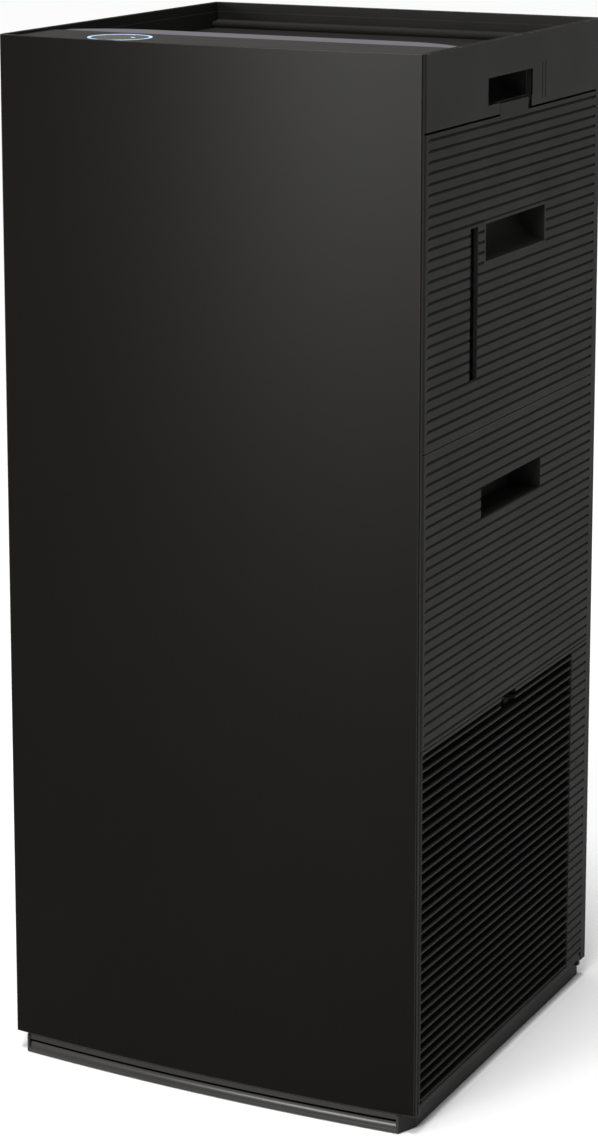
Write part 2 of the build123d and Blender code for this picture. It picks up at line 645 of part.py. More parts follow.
# Bell mouths that lead the air into both ends of the rotor
with BuildPart() as inlet_rings:
    for side in (-1, 1):
        mouth_x = FAN_X + side * FAN_HALF_W
        with BuildSketch(Plane(origin=(0, FAN_Y, FAN_Z), x_dir=(1, 0, 0), z_dir=(0, -1, 0))):
            with BuildLine():
                Polyline(
                    (mouth_x, INLET_R - 0.1),
                    (mouth_x, INLET_R - 3.0),
                    (mouth_x - side * 3.0, INLET_R - 6.4),
                    (mouth_x - side * 7.0, INLET_R - 6.4),
                    (mouth_x - side * 7.0, INLET_R - 4.6),
                    (mouth_x - side * 3.0, INLET_R - 0.1),
                    close=True,
                )
            make_face()
        revolve(axis=Axis((0, FAN_Y, FAN_Z), (1, 0, 0)), revolution_arc=360)
inlet_rings.part.label = "inlet_rings"
export_step(inlet_rings.part, "parts/inlet_rings.step")

ROTOR_W = 56.0
ROTOR_X = FAN_X - ROTOR_W / 2
HUB_R = 15.0
with BuildPart() as fan_rotor:
    with BuildSketch(yz_plane(ROTOR_X, FAN_Y, FAN_Z)):
        with PolarLocations((ROTOR_R + ROTOR_INNER_R) / 2, BLADES):
            Rectangle(17.0, 1.5, rotation=28)
    extrude(amount=ROTOR_W)
    for x in (ROTOR_X, ROTOR_X + ROTOR_W - 2):
        with BuildSketch(yz_plane(x, FAN_Y, FAN_Z)):
            Circle(ROTOR_R)
            Circle(ROTOR_INNER_R, mode=Mode.SUBTRACT)
        extrude(amount=2)
    with BuildSketch(yz_plane(FAN_X - 1.2, FAN_Y, FAN_Z)):
        Circle(ROTOR_INNER_R + 3)
    extrude(amount=2.4)
    with BuildSketch(yz_plane(FAN_X - 18, FAN_Y, FAN_Z)):
        Circle(HUB_R)
    extrude(amount=36)
    with BuildSketch(yz_plane(FAN_X - 20, FAN_Y, FAN_Z)):
        Circle(SHAFT_R)
    extrude(amount=40, mode=Mode.SUBTRACT)
fan_rotor.part.label = "fan_rotor"
export_step(fan_rotor.part, "parts/fan_rotor.step")

BRACKET_X = FAN_X + FAN_HALF_W
MOTOR_X = BRACKET_X + 2.6
MOTOR_L = 34.0
with BuildPart() as fan_shaft:
    with BuildSketch(yz_plane(FAN_X - 22, FAN_Y, FAN_Z)):
        Circle(SHAFT_R)
    extrude(amount=MOTOR_X + MOTOR_L - 4 - (FAN_X - 22))
fan_shaft.part.label = "fan_shaft"
export_step(fan_shaft.part, "parts/fan_shaft.step")

with BuildPart() as motor_bracket:
    with BuildSketch(yz_plane(BRACKET_X, FAN_Y, FAN_Z)):
        Circle(30)
        with PolarLocations(51, 3, start_angle=90):
            Rectangle(56, 13)
        Circle(SHAFT_R + 2, mode=Mode.SUBTRACT)
    extrude(amount=2.6)
motor_bracket.part.label = "motor_bracket"
export_step(motor_bracket.part, "parts/motor_bracket.step")

with BuildPart() as fan_motor:
    with BuildSketch(yz_plane(MOTOR_X, FAN_Y, FAN_Z)):
        Circle(38)
    extrude(amount=MOTOR_L)
    fillet(fan_motor.edges().filter_by(GeomType.CIRCLE).sort_by(Axis.X)[-1], radius=6)
    with BuildSketch(yz_plane(MOTOR_X + 8, FAN_Y, FAN_Z)):
        Circle(39)
        Circle(36.4, mode=Mode.SUBTRACT)
    extrude(amount=3, mode=Mode.SUBTRACT)
    with BuildSketch(yz_plane(MOTOR_X - 1, FAN_Y, FAN_Z)):
        Circle(SHAFT_R + RUNNING_GAP)
    extrude(amount=MOTOR_L - 2, mode=Mode.SUBTRACT)
fan_motor.part.label = "fan_motor"
export_step(fan_motor.part, "parts/fan_motor.step")

# Screws of the rear cover and of the motor bracket
BRACKET_SCREW_R = 74.0
SCREW_HEAD_R = 3.6
SCREW_SLOT = (3.6, 1.0)
with BuildPart() as screws:
    with BuildSketch(Plane.XZ.offset(-BACK_Y + 1.6)):
        with Locations(*REAR_SCREWS):
            Circle(1.75)
    extrude(amount=7)
    with BuildSketch(Plane.XZ.offset(-BACK_Y + 0.2)):
        with Locations(*REAR_SCREWS):
            Circle(SCREW_HEAD_R)
            RectangleRounded(SCREW_SLOT[0], SCREW_SLOT[1], 0.4, mode=Mode.SUBTRACT)
            RectangleRounded(SCREW_SLOT[1], SCREW_SLOT[0], 0.4, mode=Mode.SUBTRACT)
    extrude(amount=1.4)
    with BuildSketch(yz_plane(BRACKET_X + 2.6, FAN_Y, FAN_Z)):
        with PolarLocations(BRACKET_SCREW_R, 3, start_angle=90):
            Circle(SCREW_HEAD_R)
            RectangleRounded(SCREW_SLOT[0], SCREW_SLOT[1], 0.4, mode=Mode.SUBTRACT)
            RectangleRounded(SCREW_SLOT[1], SCREW_SLOT[0], 0.4, mode=Mode.SUBTRACT)
    extrude(amount=1.8)
screws.part.label = "screws"
export_step(screws.part, "parts/screws.step")

# ---------------------------------------------------------------- humidifying tray

TRAY_X = (2.0, 154.8)
TRAY_HALF_Y = 118.0
TRAY_BOTTOM = MID_DECK_TOP + 0.4
TRAY_RIM = 331.0
TRAY_T = 2.4
POST_TOP = WHEEL_Z + 10
FLOAT_PIVOT = (60.0, 318.0)
FLOAT_PIN_R = 1.6

with BuildPart() as tray_basin:
    block(TRAY_X, (-TRAY_HALF_Y, TRAY_HALF_Y), (TRAY_BOTTOM, TRAY_RIM))
    fillet(tray_basin.edges().filter_by(Axis.Z), radius=8)
    pool_x = (TRAY_X[0] + TRAY_T, TRAY_X[1] - TRAY_T)
    pool_y = (-TRAY_HALF_Y + TRAY_T, TRAY_HALF_Y - TRAY_T)
    block(pool_x, pool_y, (TRAY_BOTTOM + TRAY_T, TRAY_RIM + 1), mode=Mode.SUBTRACT)
    for x_range in ((TRAY_X[0], TRAY_X[0] + TRAY_T), (40.0, 43.0)):
        block(x_range, (-12, 12), (TRAY_BOTTOM + 1, POST_TOP))
    with BuildSketch(yz_plane(TRAY_X[0] - 1, WHEEL_Y, WHEEL_Z)):
        Circle(AXLE_R + RUNNING_GAP)
    extrude(amount=44, mode=Mode.SUBTRACT)
    for x in (FLOAT_PIVOT[0] - 6, FLOAT_PIVOT[0] + 6):
        block((x - 1.2, x + 1.2), (pool_y[1] - 10, pool_y[1] + 1), (FLOAT_PIVOT[1] - 5, FLOAT_PIVOT[1] + 5))
    with BuildSketch(yz_plane(FLOAT_PIVOT[0] - 9, pool_y[1] - 6, FLOAT_PIVOT[1])):
        Circle(FLOAT_PIN_R + RUNNING_GAP)
    extrude(amount=18, mode=Mode.SUBTRACT)
tray_basin.part.label = "tray_basin"
export_step(tray_basin.part, "parts/tray_basin.step")

TRAY_COVER_Z = (LOUVRE_TOP + SEAM, groove_level(TRAY_SEAM_RIB) - 0.25)
TRAY_GRIP_Y = (-52.6, 54.1)
TRAY_GRIP_Z = (412.2, 434.4)
TRAY_GRIP_DEPTH = 25.0
tray_grooves = rib_grooves(1, TRAY_COVER_Z[0], TRAY_COVER_Z[1] - 1)

with BuildPart() as tray_cover:
    block((COVER_INNER_X, HALF_W), (SIDE_FRONT_Y, SIDE_REAR_Y), TRAY_COVER_Z)
    fillet(tray_cover.edges().filter_by(Axis.Z).group_by(Axis.X)[-1].sort_by(Axis.Y)[0], radius=2)
    add(tray_grooves, mode=Mode.SUBTRACT)
    shell_y = (TRAY_GRIP_Y[0] - 2, TRAY_GRIP_Y[1] + 2)
    shell_z = (TRAY_GRIP_Z[0] - 2, TRAY_GRIP_Z[1] + 2)
    hollow_z = (TRAY_COVER_Z[0] + 62, TRAY_COVER_Z[1] - 4)
    block((COVER_INNER_X - 1, HALF_W - 3), (SIDE_FRONT_Y + 5, SIDE_REAR_Y - 4), hollow_z, mode=Mode.SUBTRACT)
    block((HALF_W - TRAY_GRIP_DEPTH - 2, HALF_W - 2), shell_y, shell_z)
    block((HALF_W - TRAY_GRIP_DEPTH, HALF_W + 1), TRAY_GRIP_Y, TRAY_GRIP_Z, mode=Mode.SUBTRACT)
tray_cover.part.label = "tray_cover"
export_step(tray_cover.part, "parts/tray_cover.step")

WHEEL_HUB_R = 14.0
MEDIA_R = 79.0
with BuildPart() as wheel_frame:
    with BuildSketch(yz_plane(WHEEL_INNER_X, WHEEL_Y, WHEEL_Z)):
        gear_outline(WHEEL_TEETH, WHEEL_MODULE)
        Circle(MEDIA_R, mode=Mode.SUBTRACT)
    extrude(amount=TOOTH_W)
    with BuildSketch(yz_plane(WHEEL_INNER_X + TOOTH_W, WHEEL_Y, WHEEL_Z)):
        Circle(MEDIA_R + 4.5)
        Circle(MEDIA_R, mode=Mode.SUBTRACT)
    extrude(amount=WHEEL_W - TOOTH_W)
    for x in (WHEEL_INNER_X, WHEEL_INNER_X + WHEEL_W - 2.5):
        with BuildSketch(yz_plane(x, WHEEL_Y, WHEEL_Z)):
            with PolarLocations((MEDIA_R + WHEEL_HUB_R) / 2, 6):
                Rectangle(MEDIA_R - WHEEL_HUB_R + 4, 3.6)
        extrude(amount=2.5)
    with BuildSketch(yz_plane(WHEEL_INNER_X, WHEEL_Y, WHEEL_Z)):
        Circle(WHEEL_HUB_R)
        Circle(AXLE_R, mode=Mode.SUBTRACT)
    extrude(amount=WHEEL_W)
wheel_frame.part.label = "wheel_frame"
export_step(wheel_frame.part, "parts/wheel_frame.step")

with BuildPart() as wheel_media:
    with BuildSketch(yz_plane(WHEEL_INNER_X + 2.8, WHEEL_Y, WHEEL_Z)):
        Circle(MEDIA_R - 0.3)
        Circle(WHEEL_HUB_R + 0.3, mode=Mode.SUBTRACT)
    extrude(amount=WHEEL_W - 5.6)
wheel_media.part.label = "wheel_media"
export_step(wheel_media.part, "parts/wheel_media.step")

with BuildPart() as wheel_axle:
    with BuildSketch(yz_plane(TRAY_X[0] + 0.2, WHEEL_Y, WHEEL_Z)):
        Circle(AXLE_R)
    extrude(amount=42.6)
wheel_axle.part.label = "wheel_axle"
export_step(wheel_axle.part, "parts/wheel_axle.step")

with BuildPart() as wheel_pinion:
    with BuildSketch(yz_plane(WHEEL_INNER_X - 0.5, PINION_Y, PINION_Z)):
        gear_outline(PINION_TEETH, WHEEL_MODULE)
    extrude(amount=TOOTH_W)
    with BuildSketch(yz_plane(WHEEL_INNER_X - 0.5, PINION_Y, PINION_Z)):
        Circle(2.5)
    extrude(amount=-34)
wheel_pinion.part.label = "wheel_pinion"
export_step(wheel_pinion.part, "parts/wheel_pinion.step")

with BuildPart() as wheel_motor:
    with BuildSketch(yz_plane(-34, PINION_Y, PINION_Z)):
        Circle(24)
    extrude(amount=24)
    fillet(wheel_motor.edges().filter_by(GeomType.CIRCLE).sort_by(Axis.X)[0], radius=3)
    for side in (-1, 1):
        with BuildSketch(yz_plane(-10, PINION_Y, PINION_Z)):
            with Locations((side * 27, 0)):
                SlotOverall(18, 10)
        extrude(amount=3.7)
    with BuildSketch(yz_plane(-10, PINION_Y, PINION_Z)):
        Circle(2.5 + RUNNING_GAP)
    extrude(amount=-18, mode=Mode.SUBTRACT)
wheel_motor.part.label = "wheel_motor"
export_step(wheel_motor.part, "parts/wheel_motor.step")

# Float that closes the low-water switch: it swings on a pin in two ears of the basin
with BuildPart() as water_float:
    block((FLOAT_PIVOT[0] - 16, FLOAT_PIVOT[0] + 16), (70, 94), (290, 308))
    fillet(water_float.edges().filter_by(Axis.Z), radius=5)
    block((FLOAT_PIVOT[0] - 3, FLOAT_PIVOT[0] + 3), (90, pool_y[1] - 5), (305, 308))
    block((FLOAT_PIVOT[0] - 3, FLOAT_PIVOT[0] + 3), (pool_y[1] - 9, pool_y[1] - 3), (305, 321))
    with BuildSketch(yz_plane(FLOAT_PIVOT[0] - 8, pool_y[1] - 6, FLOAT_PIVOT[1])):
        Circle(FLOAT_PIN_R)
    extrude(amount=16)
water_float.part.label = "water_float"
export_step(water_float.part, "parts/water_float.step")

# ---------------------------------------------------------------- water tank

TANK_X = (62.0, 154.6)
TANK_HALF_Y = 112.0
TANK_Z = (TANK_RAIL_TOP + 0.4, 678.0)
TANK_WALL = 2.4
CAP_X = 106.0
CAP_Y = -62.0
CAP_R = 23.0
MOUTH_R = 17.0
VALVE_R = 2.9
TANK_GRIP_Y = (-49.4, 55.4)
TANK_GRIP_Z = (592.0, 618.0)
TANK_GRIP_DEPTH = 23.0
TANK_GRIP_RISE = 6.0
SLOT_Y = (-75.2, -62.3)
SLOT_Z = (512.7, 618.0)

niche = scoop(1, HALF_W, TANK_GRIP_DEPTH, TANK_GRIP_Y, TANK_GRIP_Z[0], TANK_GRIP_Z[1], 3.0, TANK_GRIP_RISE, 0)
niche_shell = scoop(1, HALF_W, TANK_GRIP_DEPTH, TANK_GRIP_Y, TANK_GRIP_Z[0], TANK_GRIP_Z[1], 3.0, TANK_GRIP_RISE, 2)
NICHE_X = HALF_W - TANK_GRIP_DEPTH - 3.2
NICHE_Y = (TANK_GRIP_Y[0] - 3.2, TANK_GRIP_Y[1] + 3.2)
NICHE_Z = (TANK_GRIP_Z[0] - 3.4, TANK_GRIP_Z[1] + TANK_GRIP_RISE + 3.4)

with BuildPart() as tank_body:
    block(TANK_X, (-TANK_HALF_Y, TANK_HALF_Y), TANK_Z)
    fillet(tank_body.edges().filter_by(Axis.Z), radius=9)
    fillet(tank_body.edges().group_by(Axis.Z)[-1], radius=4)
    block((NICHE_X, TANK_X[1] + 1), NICHE_Y, NICHE_Z, mode=Mode.SUBTRACT)
    inside_y = (-TANK_HALF_Y + TANK_WALL, TANK_HALF_Y - TANK_WALL)
    inside_z = (TANK_Z[0] + TANK_WALL, TANK_Z[1] - TANK_WALL - 2)
    block((TANK_X[0] + TANK_WALL, NICHE_X - TANK_WALL), inside_y, inside_z, mode=Mode.SUBTRACT)
    outer_x = (NICHE_X - TANK_WALL, TANK_X[1] - TANK_WALL)
    for z_range in ((inside_z[0], NICHE_Z[0] - TANK_WALL), (NICHE_Z[1] + TANK_WALL, inside_z[1])):
        block(outer_x, inside_y, z_range, mode=Mode.SUBTRACT)
    for y_range in ((inside_y[0], NICHE_Y[0] - TANK_WALL), (NICHE_Y[1] + TANK_WALL, inside_y[1])):
        block(outer_x, y_range, inside_z, mode=Mode.SUBTRACT)
    with BuildSketch(Plane.XY.offset(TANK_Z[0] - 1)):
        with Locations((CAP_X, CAP_Y)):
            Circle(MOUTH_R)
    extrude(amount=5, mode=Mode.SUBTRACT)
tank_body.part.label = "tank_body"
export_step(tank_body.part, "parts/tank_body.step")

with BuildPart() as tank_cap:
    with BuildSketch(Plane.XY.offset(TANK_Z[0] - 9.4)):
        with Locations((CAP_X, CAP_Y)):
            Circle(CAP_R)
            with PolarLocations(CAP_R, 24):
                Circle(1.2)
    extrude(amount=7.4)
    with BuildSketch(Plane.XY.offset(TANK_Z[0] - 2.0)):
        with Locations((CAP_X, CAP_Y)):
            Circle(MOUTH_R - 0.3)
    extrude(amount=12)
    with BuildSketch(Plane.XY.offset(TANK_Z[0] - 7.0)):
        with Locations((CAP_X, CAP_Y)):
            Circle(MOUTH_R - 3)
            Circle(6, mode=Mode.SUBTRACT)
    extrude(amount=18, mode=Mode.SUBTRACT)
    with BuildSketch(Plane.XY.offset(TANK_Z[0] - 10)):
        with Locations((CAP_X, CAP_Y)):
            Circle(VALVE_R + RUNNING_GAP)
    extrude(amount=24, mode=Mode.SUBTRACT)
tank_cap.part.label = "tank_cap"
export_step(tank_cap.part, "parts/tank_cap.step")

with BuildPart() as cap_seal:
    with BuildSketch(Plane.XY.offset(TANK_Z[0] - 2.0)):
        with Locations((CAP_X, CAP_Y)):
            Circle(CAP_R - 1)
            Circle(MOUTH_R - 0.2, mode=Mode.SUBTRACT)
    extrude(amount=2.0)
cap_seal.part.label = "cap_seal"
export_step(cap_seal.part, "parts/cap_seal.step")

with BuildPart() as cap_valve:
    with BuildSketch(Plane.XY.offset(TANK_Z[0] - 9.4)):
        with Locations((CAP_X, CAP_Y)):
            Circle(VALVE_R)
    extrude(amount=20)
    with BuildSketch(Plane.XY.offset(TANK_Z[0] + 10.1)):
        with Locations((CAP_X, CAP_Y)):
            Circle(5.4)
    extrude(amount=2)
cap_valve.part.label = "cap_valve"
export_step(cap_valve.part, "parts/cap_valve.step")

# Feed pipe on the tray: its dish stands under the tank's valve
with BuildPart() as feed_pipe:
    with BuildSketch(Plane.XY.offset(TRAY_BOTTOM + TRAY_T)):
        with Locations((CAP_X, CAP_Y)):
            Circle(10)
            Circle(7.6, mode=Mode.SUBTRACT)
    extrude(amount=470 - TRAY_BOTTOM - TRAY_T)
    with BuildSketch(Plane.XY.offset(462)):
        with Locations((CAP_X, CAP_Y)):
            Circle(18)
            Circle(10, mode=Mode.SUBTRACT)
    extrude(amount=2)
    with BuildSketch(Plane.XY.offset(462)):
        with Locations((CAP_X, CAP_Y)):
            Circle(20)
            Circle(18, mode=Mode.SUBTRACT)
    extrude(amount=10)
feed_pipe.part.label = "feed_pipe"
export_step(feed_pipe.part, "parts/feed_pipe.step")

TANK_COVER_Z = (groove_level(TRAY_SEAM_RIB) + 0.45, PANEL_SEAM)
TAB_Y = (-26.4, 22.6)
TAB_TOP = 697.5
tank_grooves = rib_grooves(1, TANK_COVER_Z[0] + 1, TANK_COVER_Z[1] - 1)

with BuildPart() as tank_cover:
    block((COVER_INNER_X, HALF_W), (SIDE_FRONT_Y, SIDE_REAR_Y), TANK_COVER_Z)
    fillet(tank_cover.edges().filter_by(Axis.Z).group_by(Axis.X)[-1].sort_by(Axis.Y)[0], radius=2)
    add(tank_grooves, mode=Mode.SUBTRACT)
    hollow_z = (TANK_COVER_Z[0] + 4, TANK_COVER_Z[1] - 4)
    block((COVER_INNER_X - 1, HALF_W - 3), (SIDE_FRONT_Y + 5, SIDE_REAR_Y - 4), hollow_z, mode=Mode.SUBTRACT)
    block((HALF_W - 3.4, HALF_W), TAB_Y, (PANEL_SEAM - 2, TAB_TOP))
    add(niche_shell)
    block((HALF_W, HALF_W + 5), (NICHE_Y[0], NICHE_Y[1]), NICHE_Z, mode=Mode.SUBTRACT)
    add(niche, mode=Mode.SUBTRACT)
    block((COVER_INNER_X - 1, HALF_W + 1), SLOT_Y, SLOT_Z, mode=Mode.SUBTRACT)
tank_cover.part.label = "tank_cover"
export_step(tank_cover.part, "parts/tank_cover.step")

# ---------------------------------------------------------------- top

FRAME_T = 4.5
RIM_T = 3.4
RIM_STEP = 7.0
HANDLE_Y = (-47.8, 29.9)
HANDLE_Z = (698.2, 716.8)
HANDLE_DEPTH = 32.0
RECESS_Y = (TAB_Y[0] - 0.8, 28.6)
TRIM_GROOVE_Y = (47.4, 53.0)
TRIM_GROOVE_Z = (694.0, 719.7)

with BuildPart() as top_frame:
    block((-HALF_W, HALF_W), (SIDE_FRONT_Y, BACK_Y), (FRAME_BOTTOM, HEIGHT))
    fillet(top_frame.edges().filter_by(Axis.Z).group_by(Axis.Y)[-1], radius=3)
    fillet(top_frame.edges().filter_by(Axis.Z).group_by(Axis.Y)[0], radius=1.5)
    well_x = (-HALF_W + FRAME_T, HALF_W - FRAME_T)
    well_y = (SIDE_FRONT_Y + 2.5, BACK_Y - FRAME_T)
    block(well_x, well_y, (FRAME_BOTTOM + 2.4, HEIGHT + 1), mode=Mode.SUBTRACT)
    step_x = (-HALF_W + RIM_T, HALF_W - RIM_T)
    step_y = (SIDE_FRONT_Y - 1, BACK_Y - RIM_T)
    block(step_x, step_y, (HEIGHT - RIM_STEP, HEIGHT + 1), mode=Mode.SUBTRACT)
    inner_y = (SIDE_FRONT_Y + 12, BACK_Y - FRAME_T - 6)
    block((-HALF_W + 34, HALF_W - 34), inner_y, (FRAME_BOTTOM - 1, HEIGHT), mode=Mode.SUBTRACT)
    for side in (-1, 1):
        block(side_range(side, HALF_W - FRAME_T - 1, HALF_W + 1), HANDLE_Y, HANDLE_Z, mode=Mode.SUBTRACT)
        for y in TRIM_GROOVE_Y:
            groove_x = side_range(side, HALF_W - 0.8, HALF_W + 1)
            block(groove_x, (y, y + 1.1), TRIM_GROOVE_Z, mode=Mode.SUBTRACT)
        with BuildSketch(yz_plane(side * (HALF_W - 1.4), FLAP_Y, FLAP_Z)):
            Circle(FLAP_PIN_R + RUNNING_GAP)
        extrude(amount=-side * 10, mode=Mode.SUBTRACT)
    block((HALF_W - FRAME_T - 1, HALF_W + 1), RECESS_Y, (FRAME_BOTTOM - 1, HANDLE_Z[0] + 0.1), mode=Mode.SUBTRACT)
    block((HALF_W - 36, HALF_W - FRAME_T), (RECESS_Y[0] - 1, RECESS_Y[1] + 1), (FRAME_BOTTOM - 1, 696), mode=Mode.SUBTRACT)
top_frame.part.label = "top_frame"
export_step(top_frame.part, "parts/top_frame.step")

handle_cavities = []
handle_jackets = []
for side in (-1, 1):
    mouth = (side, HALF_W - FRAME_T, HANDLE_DEPTH - FRAME_T, HANDLE_Y, HANDLE_Z[0], HANDLE_Z[1], 1.0, 0.0)
    handle_cavities.append(scoop(*mouth, 0))
    handle_jackets.append(scoop(*mouth, 1.6))

for word, side, cavity, jacket in zip(("left", "right"), (-1, 1), handle_cavities, handle_jackets):
    with BuildPart() as handle_insert:
        add(jacket)
        add(cavity, mode=Mode.SUBTRACT)
        outside = side_range(side, HALF_W - FRAME_T - 0.1, HALF_W + 10)
        block(outside, (HANDLE_Y[0] - 9, HANDLE_Y[1] + 9), (680, 730), mode=Mode.SUBTRACT)
    handle_insert.part.label = f"handle_insert_{word}"
    export_step(handle_insert.part, f"parts/handle_insert_{word}.step")

# Control deck: follows the bowed panel in front and ends at the flap
DECK_REAR_Y = -84.3
DECK_T = 3.0
RING_X = -85.0
RING_Y = -117.0
RING_R = 22.5
RING_W = 2.2

with BuildPart() as control_deck:
    with BuildSketch(Plane.XY.offset(DECK_TOP - DECK_T)):
        bowed_plan(HALF_W - RIM_T - 0.3, DECK_REAR_Y, PANEL_T + 0.3)
    extrude(amount=DECK_T)
    for side in (-1, 1):
        notch_x = side_range(side, HALF_W - FRAME_T - 0.3, HALF_W)
        block(notch_x, (-SIDE_REAR_Y, DECK_REAR_Y + 1), (DECK_TOP - 6, HEIGHT - RIM_STEP + 0.3), mode=Mode.SUBTRACT)
    block((-150, 150), (DECK_REAR_Y - 2.4, DECK_REAR_Y), (DECK_TOP - 14, DECK_TOP - DECK_T))
    with BuildSketch(Plane.XY.offset(DECK_TOP - DECK_T - 1)):
        with Locations((RING_X, RING_Y)):
            Circle(RING_R + 0.1)
            Circle(RING_R - RING_W - 0.1, mode=Mode.SUBTRACT)
    extrude(amount=DECK_T + 2, mode=Mode.SUBTRACT)
    with BuildSketch(Plane.XY.offset(DECK_TOP - DECK_T)):
        with Locations((RING_X, RING_Y)):
            Circle(RING_R + 3)
    extrude(amount=1.2)
    with BuildSketch(Plane.XY.offset(DECK_TOP - 0.9)):
        with Locations((RING_X, RING_Y)):
            Circle(RING_R - RING_W - 1.6)
    extrude(amount=2, mode=Mode.SUBTRACT)
control_deck.part.label = "control_deck"
export_step(control_deck.part, "parts/control_deck.step")

with BuildPart() as light_ring:
    with BuildSketch(Plane.XY.offset(DECK_TOP - DECK_T + 1.3)):
        with Locations((RING_X, RING_Y)):
            Circle(RING_R)
            Circle(RING_R - RING_W, mode=Mode.SUBTRACT)
    extrude(amount=DECK_T - 1.3 + 0.15)
light_ring.part.label = "light_ring"
export_step(light_ring.part, "parts/light_ring.step")

with BuildPart() as display_window:
    with BuildSketch(Plane.XY.offset(DECK_TOP - 0.9)):
        with Locations((RING_X, RING_Y)):
            Circle(RING_R - RING_W - 1.7)
    extrude(amount=0.9)
display_window.part.label = "display_window"
export_step(display_window.part, "parts/display_window.step")

with BuildPart() as control_board:
    block((-140, 120), (-140, -92), (DECK_TOP - 13, DECK_TOP - 11.4))
    with BuildSketch(Plane.XY.offset(DECK_TOP - 11.4)):
        with Locations((RING_X, RING_Y)):
            with PolarLocations(RING_R - RING_W / 2, 12):
                Rectangle(3.2, 2.8)
    extrude(amount=1.2)
    for x, y, length, width, height in ((0, -116, 22, 22, 2.4), (60, -116, 14, 9, 4.0), (95, -110, 10, 20, 5.0)):
        block((x - length / 2, x + length / 2), (y - width / 2, y + width / 2), (DECK_TOP - 11.4, DECK_TOP - 11.4 + height))
control_board.part.label = "control_board"
export_step(control_board.part, "parts/control_board.step")

# Outlet: liner with a shelf, grille inside it, flap on top
LINER_HALF_W = 120.0
LINER_Y = (-78.0, 142.0)
SHELF_TOP = 720.3
SHELF_T = 1.5
GRILLE_Z = 703.0

with BuildPart() as outlet_liner:
    block((-156.2, 156.2), (DECK_REAR_Y + 0.4, 157.2), (SHELF_TOP - SHELF_T, SHELF_TOP))
    block((-LINER_HALF_W - 2, LINER_HALF_W + 2), (LINER_Y[0] - 2, LINER_Y[1] + 2), (TOP_DECK_TOP + 3.4, SHELF_TOP))
    block((-LINER_HALF_W, LINER_HALF_W), LINER_Y, (TOP_DECK_TOP, SHELF_TOP + 1), mode=Mode.SUBTRACT)
    block((152.9, 157), (FLAP_Y - 8, FLAP_Y + 8), (710, 724), mode=Mode.SUBTRACT)
outlet_liner.part.label = "outlet_liner"
export_step(outlet_liner.part, "parts/outlet_liner.step")

with BuildPart() as outlet_grille:
    with BuildSketch(Plane.XY.offset(GRILLE_Z)):
        with Locations((0, sum(LINER_Y) / 2)):
            Rectangle(2 * LINER_HALF_W - 0.6, LINER_Y[1] - LINER_Y[0] - 0.6)
            with GridLocations(11.0, 42.8, 21, 5):
                Rectangle(8.6, 40.2, mode=Mode.SUBTRACT)
    extrude(amount=6)
outlet_grille.part.label = "outlet_grille"
export_step(outlet_grille.part, "parts/outlet_grille.step")

FLAP_FLOOR_Z = (721.0, 723.2)
LIP_FRONT_Y = DECK_REAR_Y + 1.2
LIP_REAR_Y = -46.3
LIP_END_Y = -66.0
LIP_TOP = 739.4
BARREL_R = 4.0


def lip_plan(grow):
    """Outline of the flap's raised lip: straight in front, its rear edge rounded off at both ends."""
    end_x = FLAP_HALF_W + grow
    middle_x = 92.0
    with BuildLine() as outline:
        Polyline(
            (-end_x, LIP_END_Y + grow),
            (-end_x, LIP_FRONT_Y - grow),
            (end_x, LIP_FRONT_Y - grow),
            (end_x, LIP_END_Y + grow),
        )
        ThreePointArc((end_x, LIP_END_Y + grow), (132, -53.4 + grow), (middle_x, LIP_REAR_Y + grow))
        Line((middle_x, LIP_REAR_Y + grow), (-middle_x, LIP_REAR_Y + grow))
        ThreePointArc((-middle_x, LIP_REAR_Y + grow), (-132, -53.4 + grow), (-end_x, LIP_END_Y + grow))
    make_face(outline.edges())


with BuildPart() as outlet_flap:
    block((-FLAP_HALF_W, FLAP_HALF_W), (LIP_FRONT_Y, FLAP_Y), FLAP_FLOOR_Z)
    with BuildSketch(Plane.XY.offset(FLAP_FLOOR_Z[0])):
        lip_plan(0)
    extrude(amount=LIP_TOP - FLAP_FLOOR_Z[0])
    top_edges = outlet_flap.edges().group_by(Axis.Z)[-1]
    fillet(top_edges.group_by(Axis.Y)[0], radius=1.5)
    fillet(outlet_flap.faces().sort_by(Axis.Z)[-1].edges().sort_by(Axis.Y)[-1], radius=5)
    with BuildSketch(Plane.XY.offset(FLAP_FLOOR_Z[0] - 1)):
        lip_plan(-2.6)
    extrude(amount=LIP_TOP - FLAP_FLOOR_Z[0] - 1.6, mode=Mode.SUBTRACT)
    for x in (-90, -30, 30, 90):
        block((x - 1, x + 1), (LIP_FRONT_Y + 1, LIP_REAR_Y - 6), (FLAP_FLOOR_Z[0], LIP_TOP - 2))
    with BuildSketch(yz_plane(-FLAP_HALF_W, FLAP_Y, FLAP_Z)):
        Circle(BARREL_R)
    extrude(amount=2 * FLAP_HALF_W)
    with BuildSketch(yz_plane(2.0 - HALF_W, FLAP_Y, FLAP_Z)):
        Circle(FLAP_PIN_R)
    extrude(amount=2 * HALF_W - 4.0)
outlet_flap.part.label = "outlet_flap"
export_step(outlet_flap.part, "parts/outlet_flap.step")

FLAP_GEAR_X = 153.2
FLAP_GEAR_W = 2.4
DRIVE_Z = FLAP_Z - FLAP_TEETH * FLAP_MODULE
with BuildPart() as flap_gear:
    with BuildSketch(yz_plane(FLAP_GEAR_X, FLAP_Y, FLAP_Z)):
        gear_outline(FLAP_TEETH, FLAP_MODULE)
        Circle(FLAP_PIN_R, mode=Mode.SUBTRACT)
    extrude(amount=FLAP_GEAR_W)
flap_gear.part.label = "flap_gear"
export_step(flap_gear.part, "parts/flap_gear.step")

